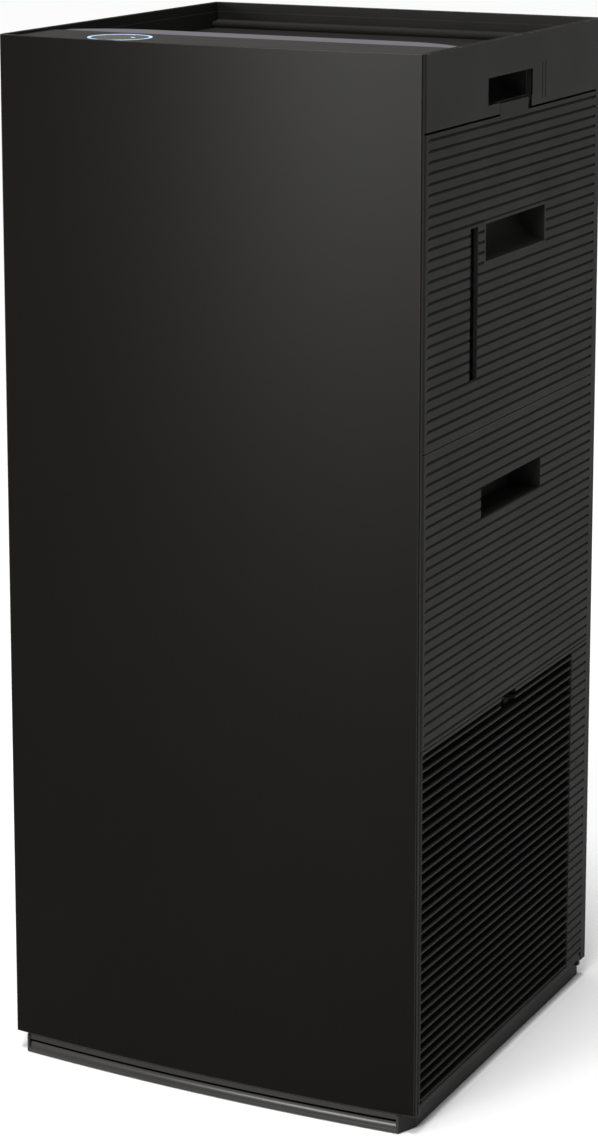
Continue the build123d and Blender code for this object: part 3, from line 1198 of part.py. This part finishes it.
with BuildPart() as flap_drive_gear:
    with BuildSketch(yz_plane(FLAP_GEAR_X, FLAP_Y, DRIVE_Z)):
        gear_outline(FLAP_TEETH, FLAP_MODULE, phase=180.0 / FLAP_TEETH)
    extrude(amount=FLAP_GEAR_W)
    with BuildSketch(yz_plane(FLAP_GEAR_X, FLAP_Y, DRIVE_Z)):
        Circle(1.5)
    extrude(amount=-12)
flap_drive_gear.part.label = "flap_drive_gear"
export_step(flap_drive_gear.part, "parts/flap_drive_gear.step")

with BuildPart() as flap_motor:
    with BuildSketch(yz_plane(132, FLAP_Y - 1.5, DRIVE_Z - 2)):
        Circle(6.6)
    extrude(amount=18)
    with BuildSketch(yz_plane(131, FLAP_Y, DRIVE_Z)):
        Circle(1.5 + RUNNING_GAP)
    extrude(amount=30, mode=Mode.SUBTRACT)
flap_motor.part.label = "flap_motor"
export_step(flap_motor.part, "parts/flap_motor.step")

# ---------------------------------------------------------------- electronics and sensors

CASE_X = (-118.0, 118.0)
CASE_Z = (512.0, 664.0)
with BuildPart() as board_case:
    block(CASE_X, (-144.3, -121.6), CASE_Z)
    block((CASE_X[0] + 2, CASE_X[1] - 2), (-142.3, -121), (CASE_Z[0] + 2, CASE_Z[1] - 2), mode=Mode.SUBTRACT)
board_case.part.label = "board_case"
export_step(board_case.part, "parts/board_case.step")

with BuildPart() as main_board:
    block((CASE_X[0] + 4, CASE_X[1] - 4), (-139.6, -138), (CASE_Z[0] + 4, CASE_Z[1] - 4))
    for x, z, length, height, depth in (
        (-80, 600, 34, 40, 12),
        (-30, 560, 26, 26, 9),
        (40, 610, 40, 24, 14),
        (85, 560, 22, 22, 4),
    ):
        block((x - length / 2, x + length / 2), (-138, -138 + depth), (z - height / 2, z + height / 2))
    with BuildSketch(Plane.XZ.offset(138)):
        with Locations((0, 640), (16, 640), (70, 640)):
            Circle(6)
    extrude(amount=-13)
main_board.part.label = "main_board"
export_step(main_board.part, "parts/main_board.step")

with BuildPart() as ioniser_unit:
    block((-70, 60), (-144.3, -122), (96, 206))
    block((-62, 52), (-126, -121), (104, 198), mode=Mode.SUBTRACT)
    for x in range(-56, 52, 12):
        block((x, x + 1.4), (-126.5, -122.4), (104, 198))
ioniser_unit.part.label = "ioniser_unit"
export_step(ioniser_unit.part, "parts/ioniser_unit.step")

with BuildPart() as dust_sensor:
    block((-138, -100), (-144.3, -126), (150, 196))
    with BuildSketch(Plane.XZ.offset(125)):
        with Locations((-119, 173)):
            Circle(6)
    extrude(amount=6, mode=Mode.SUBTRACT)
dust_sensor.part.label = "dust_sensor"
export_step(dust_sensor.part, "parts/dust_sensor.step")
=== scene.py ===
import json
from math import radians

import bmesh
import bpy
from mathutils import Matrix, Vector


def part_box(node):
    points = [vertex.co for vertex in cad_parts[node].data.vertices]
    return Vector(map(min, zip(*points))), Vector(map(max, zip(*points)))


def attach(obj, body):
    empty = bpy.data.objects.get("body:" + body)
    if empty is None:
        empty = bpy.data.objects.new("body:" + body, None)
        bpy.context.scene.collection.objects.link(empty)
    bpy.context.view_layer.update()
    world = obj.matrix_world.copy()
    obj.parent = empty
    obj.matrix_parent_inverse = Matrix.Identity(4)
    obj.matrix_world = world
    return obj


# Looks of a tower air purifier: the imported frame's nodes get their materials here, and the fine nets and
# printed marks that the frame leaves out are built as meshes. Metres; +Z up, front towards -Y.

MM = 0.001

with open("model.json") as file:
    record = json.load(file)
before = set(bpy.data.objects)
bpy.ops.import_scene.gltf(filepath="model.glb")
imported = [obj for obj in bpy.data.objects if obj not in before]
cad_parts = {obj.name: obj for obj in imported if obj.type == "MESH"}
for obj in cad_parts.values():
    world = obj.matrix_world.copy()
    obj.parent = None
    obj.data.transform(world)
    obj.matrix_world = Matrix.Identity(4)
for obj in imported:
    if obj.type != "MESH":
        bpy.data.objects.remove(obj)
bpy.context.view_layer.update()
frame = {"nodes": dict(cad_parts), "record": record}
nodes = frame["nodes"]
record = frame["record"]


# ---------------------------------------------------------------- node helpers

class Tree:
    """Short forms for building one material's node tree."""

    def __init__(self, name):
        self.material = bpy.data.materials.new(name)
        self.material.use_nodes = True
        self.nodes = self.material.node_tree.nodes
        self.links = self.material.node_tree.links
        self.shader = self.nodes["Principled BSDF"]
        self.place = self.nodes.new("ShaderNodeTexCoord").outputs["Object"]

    def join(self, value, socket):
        """Links an output to a socket, or sets a constant on it."""
        if isinstance(value, bpy.types.NodeSocket):
            self.links.new(value, socket)
        else:
            socket.default_value = value

    def along(self, axis):
        """One object coordinate, in metres: X, Y or Z."""
        split = self.nodes.new("ShaderNodeSeparateXYZ")
        self.join(self.place, split.inputs["Vector"])
        return split.outputs[axis]

    def stretched(self, scale):
        """Object coordinates scaled by (x, y, z)."""
        mapping = self.nodes.new("ShaderNodeMapping")
        self.join(self.place, mapping.inputs["Vector"])
        mapping.inputs["Scale"].default_value = scale
        return mapping.outputs["Vector"]

    def noise(self, scale, detail=3.0, stretch=(1, 1, 1)):
        """Noise from 0 to 1."""
        texture = self.nodes.new("ShaderNodeTexNoise")
        self.join(self.stretched(stretch), texture.inputs["Vector"])
        texture.inputs["Scale"].default_value = scale
        texture.inputs["Detail"].default_value = detail
        return texture.outputs["Fac"]

    def cells(self, scale):
        """Distance to the nearest cell centre."""
        texture = self.nodes.new("ShaderNodeTexVoronoi")
        self.join(self.place, texture.inputs["Vector"])
        texture.inputs["Scale"].default_value = scale
        return texture.outputs["Distance"]

    def waves(self, scale, direction):
        """Straight bands across one axis."""
        texture = self.nodes.new("ShaderNodeTexWave")
        texture.bands_direction = direction
        self.join(self.place, texture.inputs["Vector"])
        texture.inputs["Scale"].default_value = scale
        return texture.outputs["Fac"]

    def spread(self, value, low, high, start=0.0, end=1.0):
        """Maps start..end to low..high, clamped."""
        node = self.nodes.new("ShaderNodeMapRange")
        self.join(value, node.inputs["Value"])
        node.inputs["From Min"].default_value = start
        node.inputs["From Max"].default_value = end
        node.inputs["To Min"].default_value = low
        node.inputs["To Max"].default_value = high
        return node.outputs["Result"]

    def maths(self, operation, a, b=0.0):
        """One arithmetic step."""
        node = self.nodes.new("ShaderNodeMath")
        node.operation = operation
        self.join(a, node.inputs[0])
        self.join(b, node.inputs[1])
        return node.outputs[0]

    def mixed(self, factor, a, b):
        """Colour between a and b."""
        node = self.nodes.new("ShaderNodeMix")
        node.data_type = "RGBA"
        colours = [socket for socket in node.inputs if socket.type == "RGBA"]
        self.join(factor, node.inputs[0])
        self.join(a, colours[0])
        self.join(b, colours[1])
        return [socket for socket in node.outputs if socket.type == "RGBA"][0]

    def edges(self, radius):
        """0 on flat faces, rising to 1 along sharp edges."""
        bevel = self.nodes.new("ShaderNodeBevel")
        bevel.samples = 4
        bevel.inputs["Radius"].default_value = radius
        flat = self.nodes.new("ShaderNodeNewGeometry").outputs["Normal"]
        product = self.nodes.new("ShaderNodeVectorMath")
        product.operation = "DOT_PRODUCT"
        self.join(bevel.outputs["Normal"], product.inputs[0])
        self.join(flat, product.inputs[1])
        return self.spread(product.outputs["Value"], 1.0, 0.0, 0.80, 0.995)

    def bump(self, height, strength, distance):
        """Sets the shader's normal from a height."""
        node = self.nodes.new("ShaderNodeBump")
        node.inputs["Strength"].default_value = strength
        node.inputs["Distance"].default_value = distance
        self.join(height, node.inputs["Height"])
        self.join(node.outputs["Normal"], self.shader.inputs["Normal"])

    def set(self, **values):
        """Sets or links shader inputs, named with underscores for spaces."""
        for name, value in values.items():
            self.join(value, self.shader.inputs[name.replace("_", " ")])


def grey(level, warm=0.0):
    """Colour of one lightness, warmed towards brown or, if negative, cooled towards blue."""
    return (level * (1 + warm), level, level * (1 - warm), 1.0)


def moulded(name, low, high, rough, grain=2600.0, depth=0.03, worn=None, wear=0.35, specular=0.5, rim=None):
    """Moulded plastic: cloudy colour, a fine spark-eroded grain, and edges rubbed a little lighter.

    With rim, (height, wear), the edges above that height are lightened by that much instead, as a painted
    highlight.
    """
    tree = Tree(name)
    # Painted highlight: above the rim height the edge lightening rises to the rim's amount.
    if rim:
        wear = tree.spread(tree.along("Z"), wear, rim[1], rim[0] - MM, rim[0])
    cloud = tree.noise(9.0, 4.0)
    speckle = tree.noise(900.0, 2.0)
    body = tree.mixed(tree.spread(cloud, 0.0, 1.0, 0.3, 0.7), low, high)
    rubbed = tree.maths("MULTIPLY", tree.edges(0.9 * MM), tree.spread(tree.noise(120.0, 3.0), 0.2, 1.0, 0.35, 0.7))
    colour = tree.mixed(tree.maths("MULTIPLY", rubbed, wear), body, worn or high)
    smudge = tree.spread(tree.noise(24.0, 5.0), -0.025, 0.025, 0.3, 0.7)
    sparkle = tree.spread(speckle, -0.03, 0.03, 0.3, 0.7)
    shine = tree.maths("ADD", tree.maths("ADD", smudge, sparkle), rough)
    tree.set(Base_Color=colour, Roughness=shine, Specular_IOR_Level=specular)
    tree.bump(tree.noise(grain, 2.0), depth, 0.3 * MM)
    return tree


# ---------------------------------------------------------------- materials

SATIN = 0.60
SATIN_SHINE = 0.13
# Near-black painted as shade into the base trim's slit and the frame's side grooves.
PAINTED_SHADE_BLACK = 0.001
PANEL_LOW = (0.0010, 0.0007, 0.0004, 1)
PANEL_HIGH = (0.0016, 0.0011, 0.0006, 1)
PANEL_HAIR = (0.0034, 0.0025, 0.0016, 1)
PANEL_WORN = (0.055, 0.052, 0.048, 1)
PANEL_SHINE = 0.045
FLAP_LOW = (0.105, 0.100, 0.114, 1)
FLAP_HIGH = (0.121, 0.115, 0.131, 1)
BLACK_LOW = (0.0085, 0.0080, 0.0074, 1)
BLACK_HIGH = (0.0120, 0.0114, 0.0106, 1)
BLACK_WORN = (0.060, 0.058, 0.055, 1)
DECK_LOW = (0.018, 0.0155, 0.0138, 1)
DECK_HIGH = (0.022, 0.0188, 0.017, 1)
FLAP_LIP_SHARE = 0.163
FLAP_ROUGH = 0.34
TRIM_SLIT_SHARE = 0.669
TRIM_SLIT_HALF = 0.9 * MM
# Height above which the top frame's edges are lightened as a painted highlight.
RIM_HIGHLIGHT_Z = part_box("top_frame")[1].z - 1.5 * MM
FRAME_CORNER = 20 * MM


def panel_finish():
    """Front panel: brown-black painted steel with a faint upright hairline."""
    tree = Tree("panel_paint")
    hair = tree.noise(1.0, 2.0, (2600.0, 2600.0, 24.0))
    cloud = tree.noise(3.0, 3.0)
    body = tree.mixed(tree.spread(cloud, 0.0, 1.0, 0.3, 0.7), PANEL_LOW, PANEL_HIGH)
    body = tree.mixed(tree.spread(hair, 0.0, 0.35, 0.4, 0.7), body, PANEL_HAIR)
    rubbed = tree.edges(1.0 * MM)
    colour = tree.mixed(tree.maths("MULTIPLY", rubbed, 0.8), body, PANEL_WORN)
    shine = tree.maths("ADD", tree.spread(cloud, 0.33, 0.37), tree.spread(hair, -0.02, 0.02))
    tree.set(Base_Color=colour, Roughness=shine, Specular_IOR_Level=PANEL_SHINE)
    tree.bump(hair, 0.03, 0.1 * MM)
    return tree


def flap_finish():
    """Flap: a glossy lavender-grey lip; behind it the flap is painted in the frame's dark plastic colour, matte,
    as painted shade of the outlet cavity.
    """
    tree = moulded("flap_plastic", FLAP_LOW, FLAP_HIGH, FLAP_ROUGH, depth=0.01, worn=grey(0.2))
    low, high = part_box("outlet_flap")
    lip_end = low.y + FLAP_LIP_SHARE * (high.y - low.y)
    # Painted shade: everything behind the lip is painted dark, rougher and low in specular.
    cavity_shade_mask = tree.maths("GREATER_THAN", tree.along("Y"), lip_end)
    lit = tree.shader.inputs["Base Color"].links[0].from_socket
    dull = tree.mixed(tree.noise(9.0, 4.0), BLACK_LOW, BLACK_HIGH)
    tree.set(
        Base_Color=tree.mixed(cavity_shade_mask, lit, dull),
        Roughness=tree.spread(cavity_shade_mask, FLAP_ROUGH, 0.62),
        Specular_IOR_Level=tree.spread(cavity_shade_mask, 0.5, SATIN_SHINE),
    )
    return tree


def frame_finish():
    """Top frame: edges a little worn all round and lightened as a painted highlight along the upper rim; painted
    shade darkens the shallow grooves of its sides.
    """
    tree = moulded(
        "frame_plastic",
        BLACK_LOW,
        BLACK_HIGH,
        SATIN,
        # Edges lightened a little all round as wear, and strongly above the rim height as a painted highlight.
        worn=grey(0.20),
        wear=0.12,
        specular=SATIN_SHINE,
        rim=(RIM_HIGHLIGHT_Z, 0.8),
    )
    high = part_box("top_frame")[1]
    # Painted shade: the floors of the shallow side grooves are painted near-black with no specular.
    depth = tree.maths("SUBTRACT", high.x, tree.maths("ABSOLUTE", tree.along("X")))
    below_face = tree.spread(depth, 0.0, 1.0, 0.05 * MM, 0.2 * MM)
    sunk = tree.maths("MULTIPLY", below_face, tree.maths("LESS_THAN", depth, 1.2 * MM))
    flank = tree.maths("LESS_THAN", tree.maths("ABSOLUTE", tree.along("Y")), high.y - FRAME_CORNER)
    groove_shade = tree.maths("MULTIPLY", sunk, flank)
    plain = tree.shader.inputs["Base Color"].links[0].from_socket
    tree.set(
        Base_Color=tree.mixed(groove_shade, plain, grey(PAINTED_SHADE_BLACK)),
        Specular_IOR_Level=tree.spread(groove_shade, SATIN_SHINE, 0.0),
    )
    return tree


def trim_finish():
    """Base trim: a satin lip, a slit painted black as painted shade, and a glossy foot, told apart by height."""
    tree = moulded("trim_gloss", grey(0.018, 0.03), grey(0.024, 0.03), 0.20, depth=0.01, worn=grey(0.06))
    low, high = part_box("base_trim")
    height = tree.along("Z")
    slit_z = low.z + TRIM_SLIT_SHARE * (high.z - low.z)
    above = tree.maths("GREATER_THAN", height, slit_z)
    off_slit = tree.maths("ABSOLUTE", tree.maths("SUBTRACT", height, slit_z))
    outside_slit_shade = tree.spread(off_slit, 0.0, 1.0, TRIM_SLIT_HALF, TRIM_SLIT_HALF + 0.2 * MM)
    foot = tree.shader.inputs["Base Color"].links[0].from_socket
    lip = tree.mixed(tree.noise(9.0, 4.0), BLACK_LOW, BLACK_HIGH)
    tree.set(
        # Painted shade: the slit's faces are painted near-black with no specular.
        Base_Color=tree.mixed(outside_slit_shade, grey(PAINTED_SHADE_BLACK), tree.mixed(above, foot, lip)),
        Roughness=tree.spread(above, 0.28, SATIN),
        Specular_IOR_Level=tree.maths("MULTIPLY", outside_slit_shade, tree.spread(above, 0.14, SATIN_SHINE)),
    )
    return tree


def metal(name, colour, rough, stretch):
    """Bare metal with fine marks drawn out along one axis."""
    tree = Tree(name)
    marks = tree.noise(1.0, 3.0, stretch)
    dull = tuple(0.8 * c for c in colour[:3]) + (1.0,)
    tree.set(
        Base_Color=tree.mixed(tree.spread(marks, 0.0, 1.0, 0.35, 0.65), dull, colour),
        Roughness=tree.maths("ADD", tree.spread(marks, -0.08, 0.08), rough),
        Metallic=1.0,
    )
    tree.bump(marks, 0.05, 0.1 * MM)
    return tree


def woven(name, thread, gap, pitch, rough):
    """Plain weave in the upright plane of a side filter."""
    tree = Tree(name)
    across = tree.waves(pitch, "Y")
    along = tree.waves(pitch, "Z")
    weave = tree.maths("MAXIMUM", across, along)
    cover = tree.spread(weave, 0.0, 1.0, 0.45, 0.85)
    dust = tree.noise(60.0, 4.0)
    lit = tree.mixed(tree.spread(dust, 0.0, 0.35, 0.4, 0.8), thread, grey(0.09))
    tree.set(Base_Color=tree.mixed(cover, gap, lit), Roughness=tree.spread(dust, rough - 0.06, rough + 0.06))
    tree.bump(weave, 0.5, 0.2 * MM)
    return tree


def fibrous(name, low, high, rough, scale, depth):
    """Paper, felt or foam: matted fibres with cloudy tone."""
    tree = Tree(name)
    fibres = tree.noise(scale, 6.0)
    cloud = tree.noise(18.0, 3.0)
    blend = tree.maths("MULTIPLY", tree.spread(fibres, 0.3, 1.0, 0.3, 0.7), tree.spread(cloud, 0.6, 1.0, 0.3, 0.7))
    tree.set(
        Base_Color=tree.mixed(blend, low, high),
        Roughness=tree.spread(fibres, rough - 0.05, rough + 0.05),
        Specular_IOR_Level=0.2,
    )
    tree.bump(fibres, depth, 0.4 * MM)
    return tree


def granular(name):
    """Deodorising granules."""
    tree = Tree(name)
    grains = tree.cells(700.0)
    tree.set(
        Base_Color=tree.mixed(tree.spread(grains, 0.0, 1.0, 0.1, 0.6), grey(0.045), grey(0.012)),
        Roughness=tree.spread(grains, 0.55, 0.85),
    )
    tree.bump(grains, 0.7, 0.6 * MM)
    return tree


def circuit(name):
    """Lacquered board with tracks and pads."""
    tree = Tree(name)
    tracks = tree.spread(tree.waves(260.0, "X"), 0.0, 1.0, 0.75, 0.85)
    pads = tree.spread(tree.cells(230.0), 1.0, 0.0, 0.16, 0.22)
    lacquer = tree.mixed(tracks, (0.012, 0.085, 0.04, 1), (0.02, 0.13, 0.06, 1))
    tree.set(
        Base_Color=tree.mixed(pads, lacquer, (0.55, 0.52, 0.42, 1)),
        Roughness=tree.spread(tree.noise(300.0), 0.25, 0.45),
        Metallic=tree.maths("MULTIPLY", pads, 0.8),
    )
    tree.bump(tree.maths("MAXIMUM", tracks, pads), 0.3, 0.1 * MM)
    return tree


def clear(name, tint, rough, share):
    """Translucent moulding, with faint flow clouds."""
    tree = Tree(name)
    cloud = tree.noise(14.0, 3.0)
    darker = tuple(0.7 * c for c in tint[:3]) + (1.0,)
    rubbed = tree.maths("MULTIPLY", tree.edges(1.2 * MM), 0.4)
    tree.set(
        Base_Color=tree.mixed(rubbed, tree.mixed(cloud, darker, tint), grey(0.7)),
        Roughness=tree.spread(tree.noise(40.0, 4.0), rough - 0.05, rough + 0.08, 0.3, 0.7),
        IOR=1.5,
        Transmission_Weight=share,
    )
    tree.bump(tree.noise(500.0, 2.0), 0.04, 0.2 * MM)
    return tree


def ring_light(name):
    """Lit diffuser ring, a little brighter over each lamp under it."""
    tree = Tree(name)
    spots = tree.noise(90.0, 2.0)
    tint = tree.mixed(spots, (0.30, 0.50, 0.80, 1), (0.58, 0.72, 0.86, 1))
    tree.set(
        Base_Color=tint,
        Roughness=tree.spread(spots, 0.25, 0.4),
        Emission_Color=tint,
        Emission_Strength=tree.spread(spots, 0.30, 0.65, 0.3, 0.7),
    )
    tree.bump(spots, 0.05, 0.1 * MM)
    return tree


finishes = {
    "panel": panel_finish(),
    "housing": moulded("housing_plastic", BLACK_LOW, BLACK_HIGH, 0.62, worn=BLACK_WORN, wear=0.45, specular=0.12),
    "frame_finish": frame_finish(),
    "plinth": moulded("plinth_plastic", grey(0.009), grey(0.013), 0.60, worn=BLACK_WORN, specular=0.15),
    "trim": trim_finish(),
    "deck": moulded("deck_satin", DECK_LOW, DECK_HIGH, 0.50, worn=grey(0.08), specular=0.3),
    "flap_finish": flap_finish(),
    "insert": moulded("insert_satin", grey(0.008), grey(0.011), 0.42, worn=grey(0.20), wear=0.45, specular=0.3),
    "inner": moulded("inner_plastic", grey(0.055), grey(0.075), 0.6, worn=grey(0.14)),
    "rotor": moulded("rotor_plastic", grey(0.045, -0.03), grey(0.06, -0.03), 0.45, worn=grey(0.14)),
    "gear_plastic": moulded("gear_acetal", grey(0.62, 0.01), grey(0.72, 0.01), 0.42, worn=grey(0.8)),
    "window": moulded("display_gloss", grey(0.006), grey(0.010), 0.10, depth=0.0, worn=grey(0.03)),
    "rubber": moulded("rubber_black", grey(0.010), grey(0.018), 0.8, grain=1500.0, depth=0.12, worn=grey(0.04)),
    "mesh": woven("prefilter_weave", grey(0.030), grey(0.004), 210.0, 0.7),
    "filter_paper": fibrous("pleated_paper", grey(0.60, 0.03), grey(0.80, 0.03), 0.9, 800.0, 0.25),
    "wheel_fabric": fibrous("wheel_felt", (0.46, 0.55, 0.62, 1), (0.66, 0.75, 0.82, 1), 0.95, 420.0, 0.6),
    "float_foam": fibrous("float_foam", grey(0.62, 0.05), grey(0.80, 0.05), 0.85, 1300.0, 0.4),
    "carbon": granular("deodorising_grain"),
    "circuit": circuit("board_lacquer"),
    "steel": metal("zinc_steel", grey(0.62), 0.34, (90.0, 900.0, 900.0)),
    "motor_metal": metal("cast_aluminium", grey(0.52), 0.42, (300.0, 300.0, 300.0)),
    "tank_plastic": clear("tank_smoke", (0.16, 0.18, 0.20, 1), 0.16, 0.72),
    "tray_plastic": clear("tray_frost", (0.62, 0.66, 0.68, 1), 0.30, 0.35),
    "light": ring_light("ring_diffuser"),
}

slots = {piece["node"]: piece["material_slot"] for piece in record["subparts"]}
for name, piece in nodes.items():
    piece.data.materials.clear()
    piece.data.materials.append(finishes[slots[name]].material)


# ---------------------------------------------------------------- added meshes

def mesh_piece(name, mesh, finish, body):
    """Turns a bmesh into an object of one finish that rides on a body."""
    data = bpy.data.meshes.new(name)
    mesh.to_mesh(data)
    mesh.free()
    piece = bpy.data.objects.new(name, data)
    bpy.context.scene.collection.objects.link(piece)
    data.materials.append(finishes[finish].material)
    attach(piece, body)
    return piece


def add_bar(mesh, low, high):
    """Closed rectangular bar between two corners."""
    corners = [
        mesh.verts.new((x, y, z))
        for x in (low[0], high[0])
        for y in (low[1], high[1])
        for z in (low[2], high[2])
    ]
    for face in ((0, 1, 3, 2), (4, 6, 7, 5), (0, 4, 5, 1), (2, 3, 7, 6), (0, 2, 6, 4), (1, 5, 7, 3)):
        mesh.faces.new([corners[index] for index in face])


NET_FACES = (0.1461, 0.1473)
NET_CELLS = 5
NET_CELL_Y = (-0.140, 0.0512, 0.049)
NET_CELL_Z = (0.027, 0.047, 0.045)
NET_PITCH = 0.0035
NET_THREAD = 0.0004
NET_COUNT = 13

for side, body in ((-1, "left_cover"), (1, "right_cover")):
    net = bmesh.new()
    x_low, x_high = sorted(side * x for x in NET_FACES)
    for column in range(NET_CELLS):
        y_low = NET_CELL_Y[0] + column * NET_CELL_Y[1]
        y_high = y_low + NET_CELL_Y[2]
        for row in range(NET_CELLS):
            z_low = NET_CELL_Z[0] + row * NET_CELL_Z[1]
            z_high = z_low + NET_CELL_Z[2]
            for step in range(1, NET_COUNT):
                z = z_low + step * NET_PITCH
                add_bar(net, (x_low, y_low, z), (x_high, y_high, z + NET_THREAD))
            for step in range(1, NET_COUNT + 1):
                y = y_low + step * NET_PITCH
                add_bar(net, (x_low, y, z_low), (x_high, y + NET_THREAD, z_high))
    mesh_piece(f"prefilter_net_{body}", net, "mesh", body)

TICK_PLACE = (-0.076, -0.1146)
TICK_HALF = (0.0015, 0.0004, 0.00012)
ring_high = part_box("light_ring")[1]
tick = bmesh.new()
tick_centre = (*TICK_PLACE, ring_high.z)
tick_low = [centre - size for centre, size in zip(tick_centre, TICK_HALF)]
tick_high = [centre + size for centre, size in zip(tick_centre, TICK_HALF)]
add_bar(tick, tick_low, tick_high)
mesh_piece("ring_tick", tick, "light", "chassis")


# ---------------------------------------------------------------- stage, light, camera

FLOOR_SIZE = 60.0
FLOOR_GREY = 0.86
floor_mesh = bmesh.new()
bmesh.ops.create_grid(floor_mesh, x_segments=2, y_segments=2, size=FLOOR_SIZE / 2)
floor_data = bpy.data.meshes.new("studio_floor")
floor_mesh.to_mesh(floor_data)
floor_mesh.free()
floor = bpy.data.objects.new("studio_floor", floor_data)
bpy.context.scene.collection.objects.link(floor)
floor_tree = Tree("studio_paper")
floor_tree.set(Base_Color=grey(FLOOR_GREY), Roughness=0.9, Specular_IOR_Level=0.1)
floor_data.materials.append(floor_tree.material)


# Name, kind, energy, place, and width of an area light or angle of a sun
LAMPS = [
    ("overhead_sun", "SUN", 2.8, (-0.2, -0.5, 4.0), radians(30)),
    ("front_softbox", "AREA", 450.0, (-1.7, -6.0, 0.7), 1.4),
    ("high_fill", "AREA", 65.0, (0.5, -2.8, 2.8), 1.4),
    ("right_softbox", "AREA", 5.0, (2.6, 0.4, 1.6), 1.2),
]
LAMP_TARGET = Vector((0.0, 0.0, 0.37))

for name, kind, energy, place, size in LAMPS:
    data = bpy.data.lights.new(name, kind)
    data.energy = energy
    if kind == "AREA":
        data.shape = "RECTANGLE"
        data.size = size
        data.size_y = size
    else:
        data.angle = size
    light = bpy.data.objects.new(name, data)
    bpy.context.scene.collection.objects.link(light)
    light.location = place
    light.rotation_euler = (LAMP_TARGET - Vector(place)).to_track_quat("-Z", "Y").to_euler()

WORLD_STRENGTH = 0.25
world = bpy.data.worlds.new("studio")
bpy.context.scene.world = world
world.use_nodes = True
world.node_tree.nodes["Background"].inputs["Color"].default_value = (1, 1, 1, 1)
world.node_tree.nodes["Background"].inputs["Strength"].default_value = WORLD_STRENGTH

CAMERA_PLACE = (0.962, -1.907, 0.929)
CAMERA_YAW = 26.92
CAMERA_PITCH = 10.40
CAMERA_LENS = 95.0
CAMERA_SHIFT = -0.228
camera_data = bpy.data.cameras.new("camera")
camera_data.lens = CAMERA_LENS
camera_data.shift_y = CAMERA_SHIFT
camera_data.clip_end = 2 * FLOOR_SIZE
camera = bpy.data.objects.new("camera", camera_data)
camera.location = CAMERA_PLACE
camera.rotation_euler = (radians(90 - CAMERA_PITCH), 0, radians(CAMERA_YAW))
bpy.context.scene.collection.objects.link(camera)
bpy.context.scene.camera = camera
bpy.context.scene.view_settings.view_transform = "Standard"
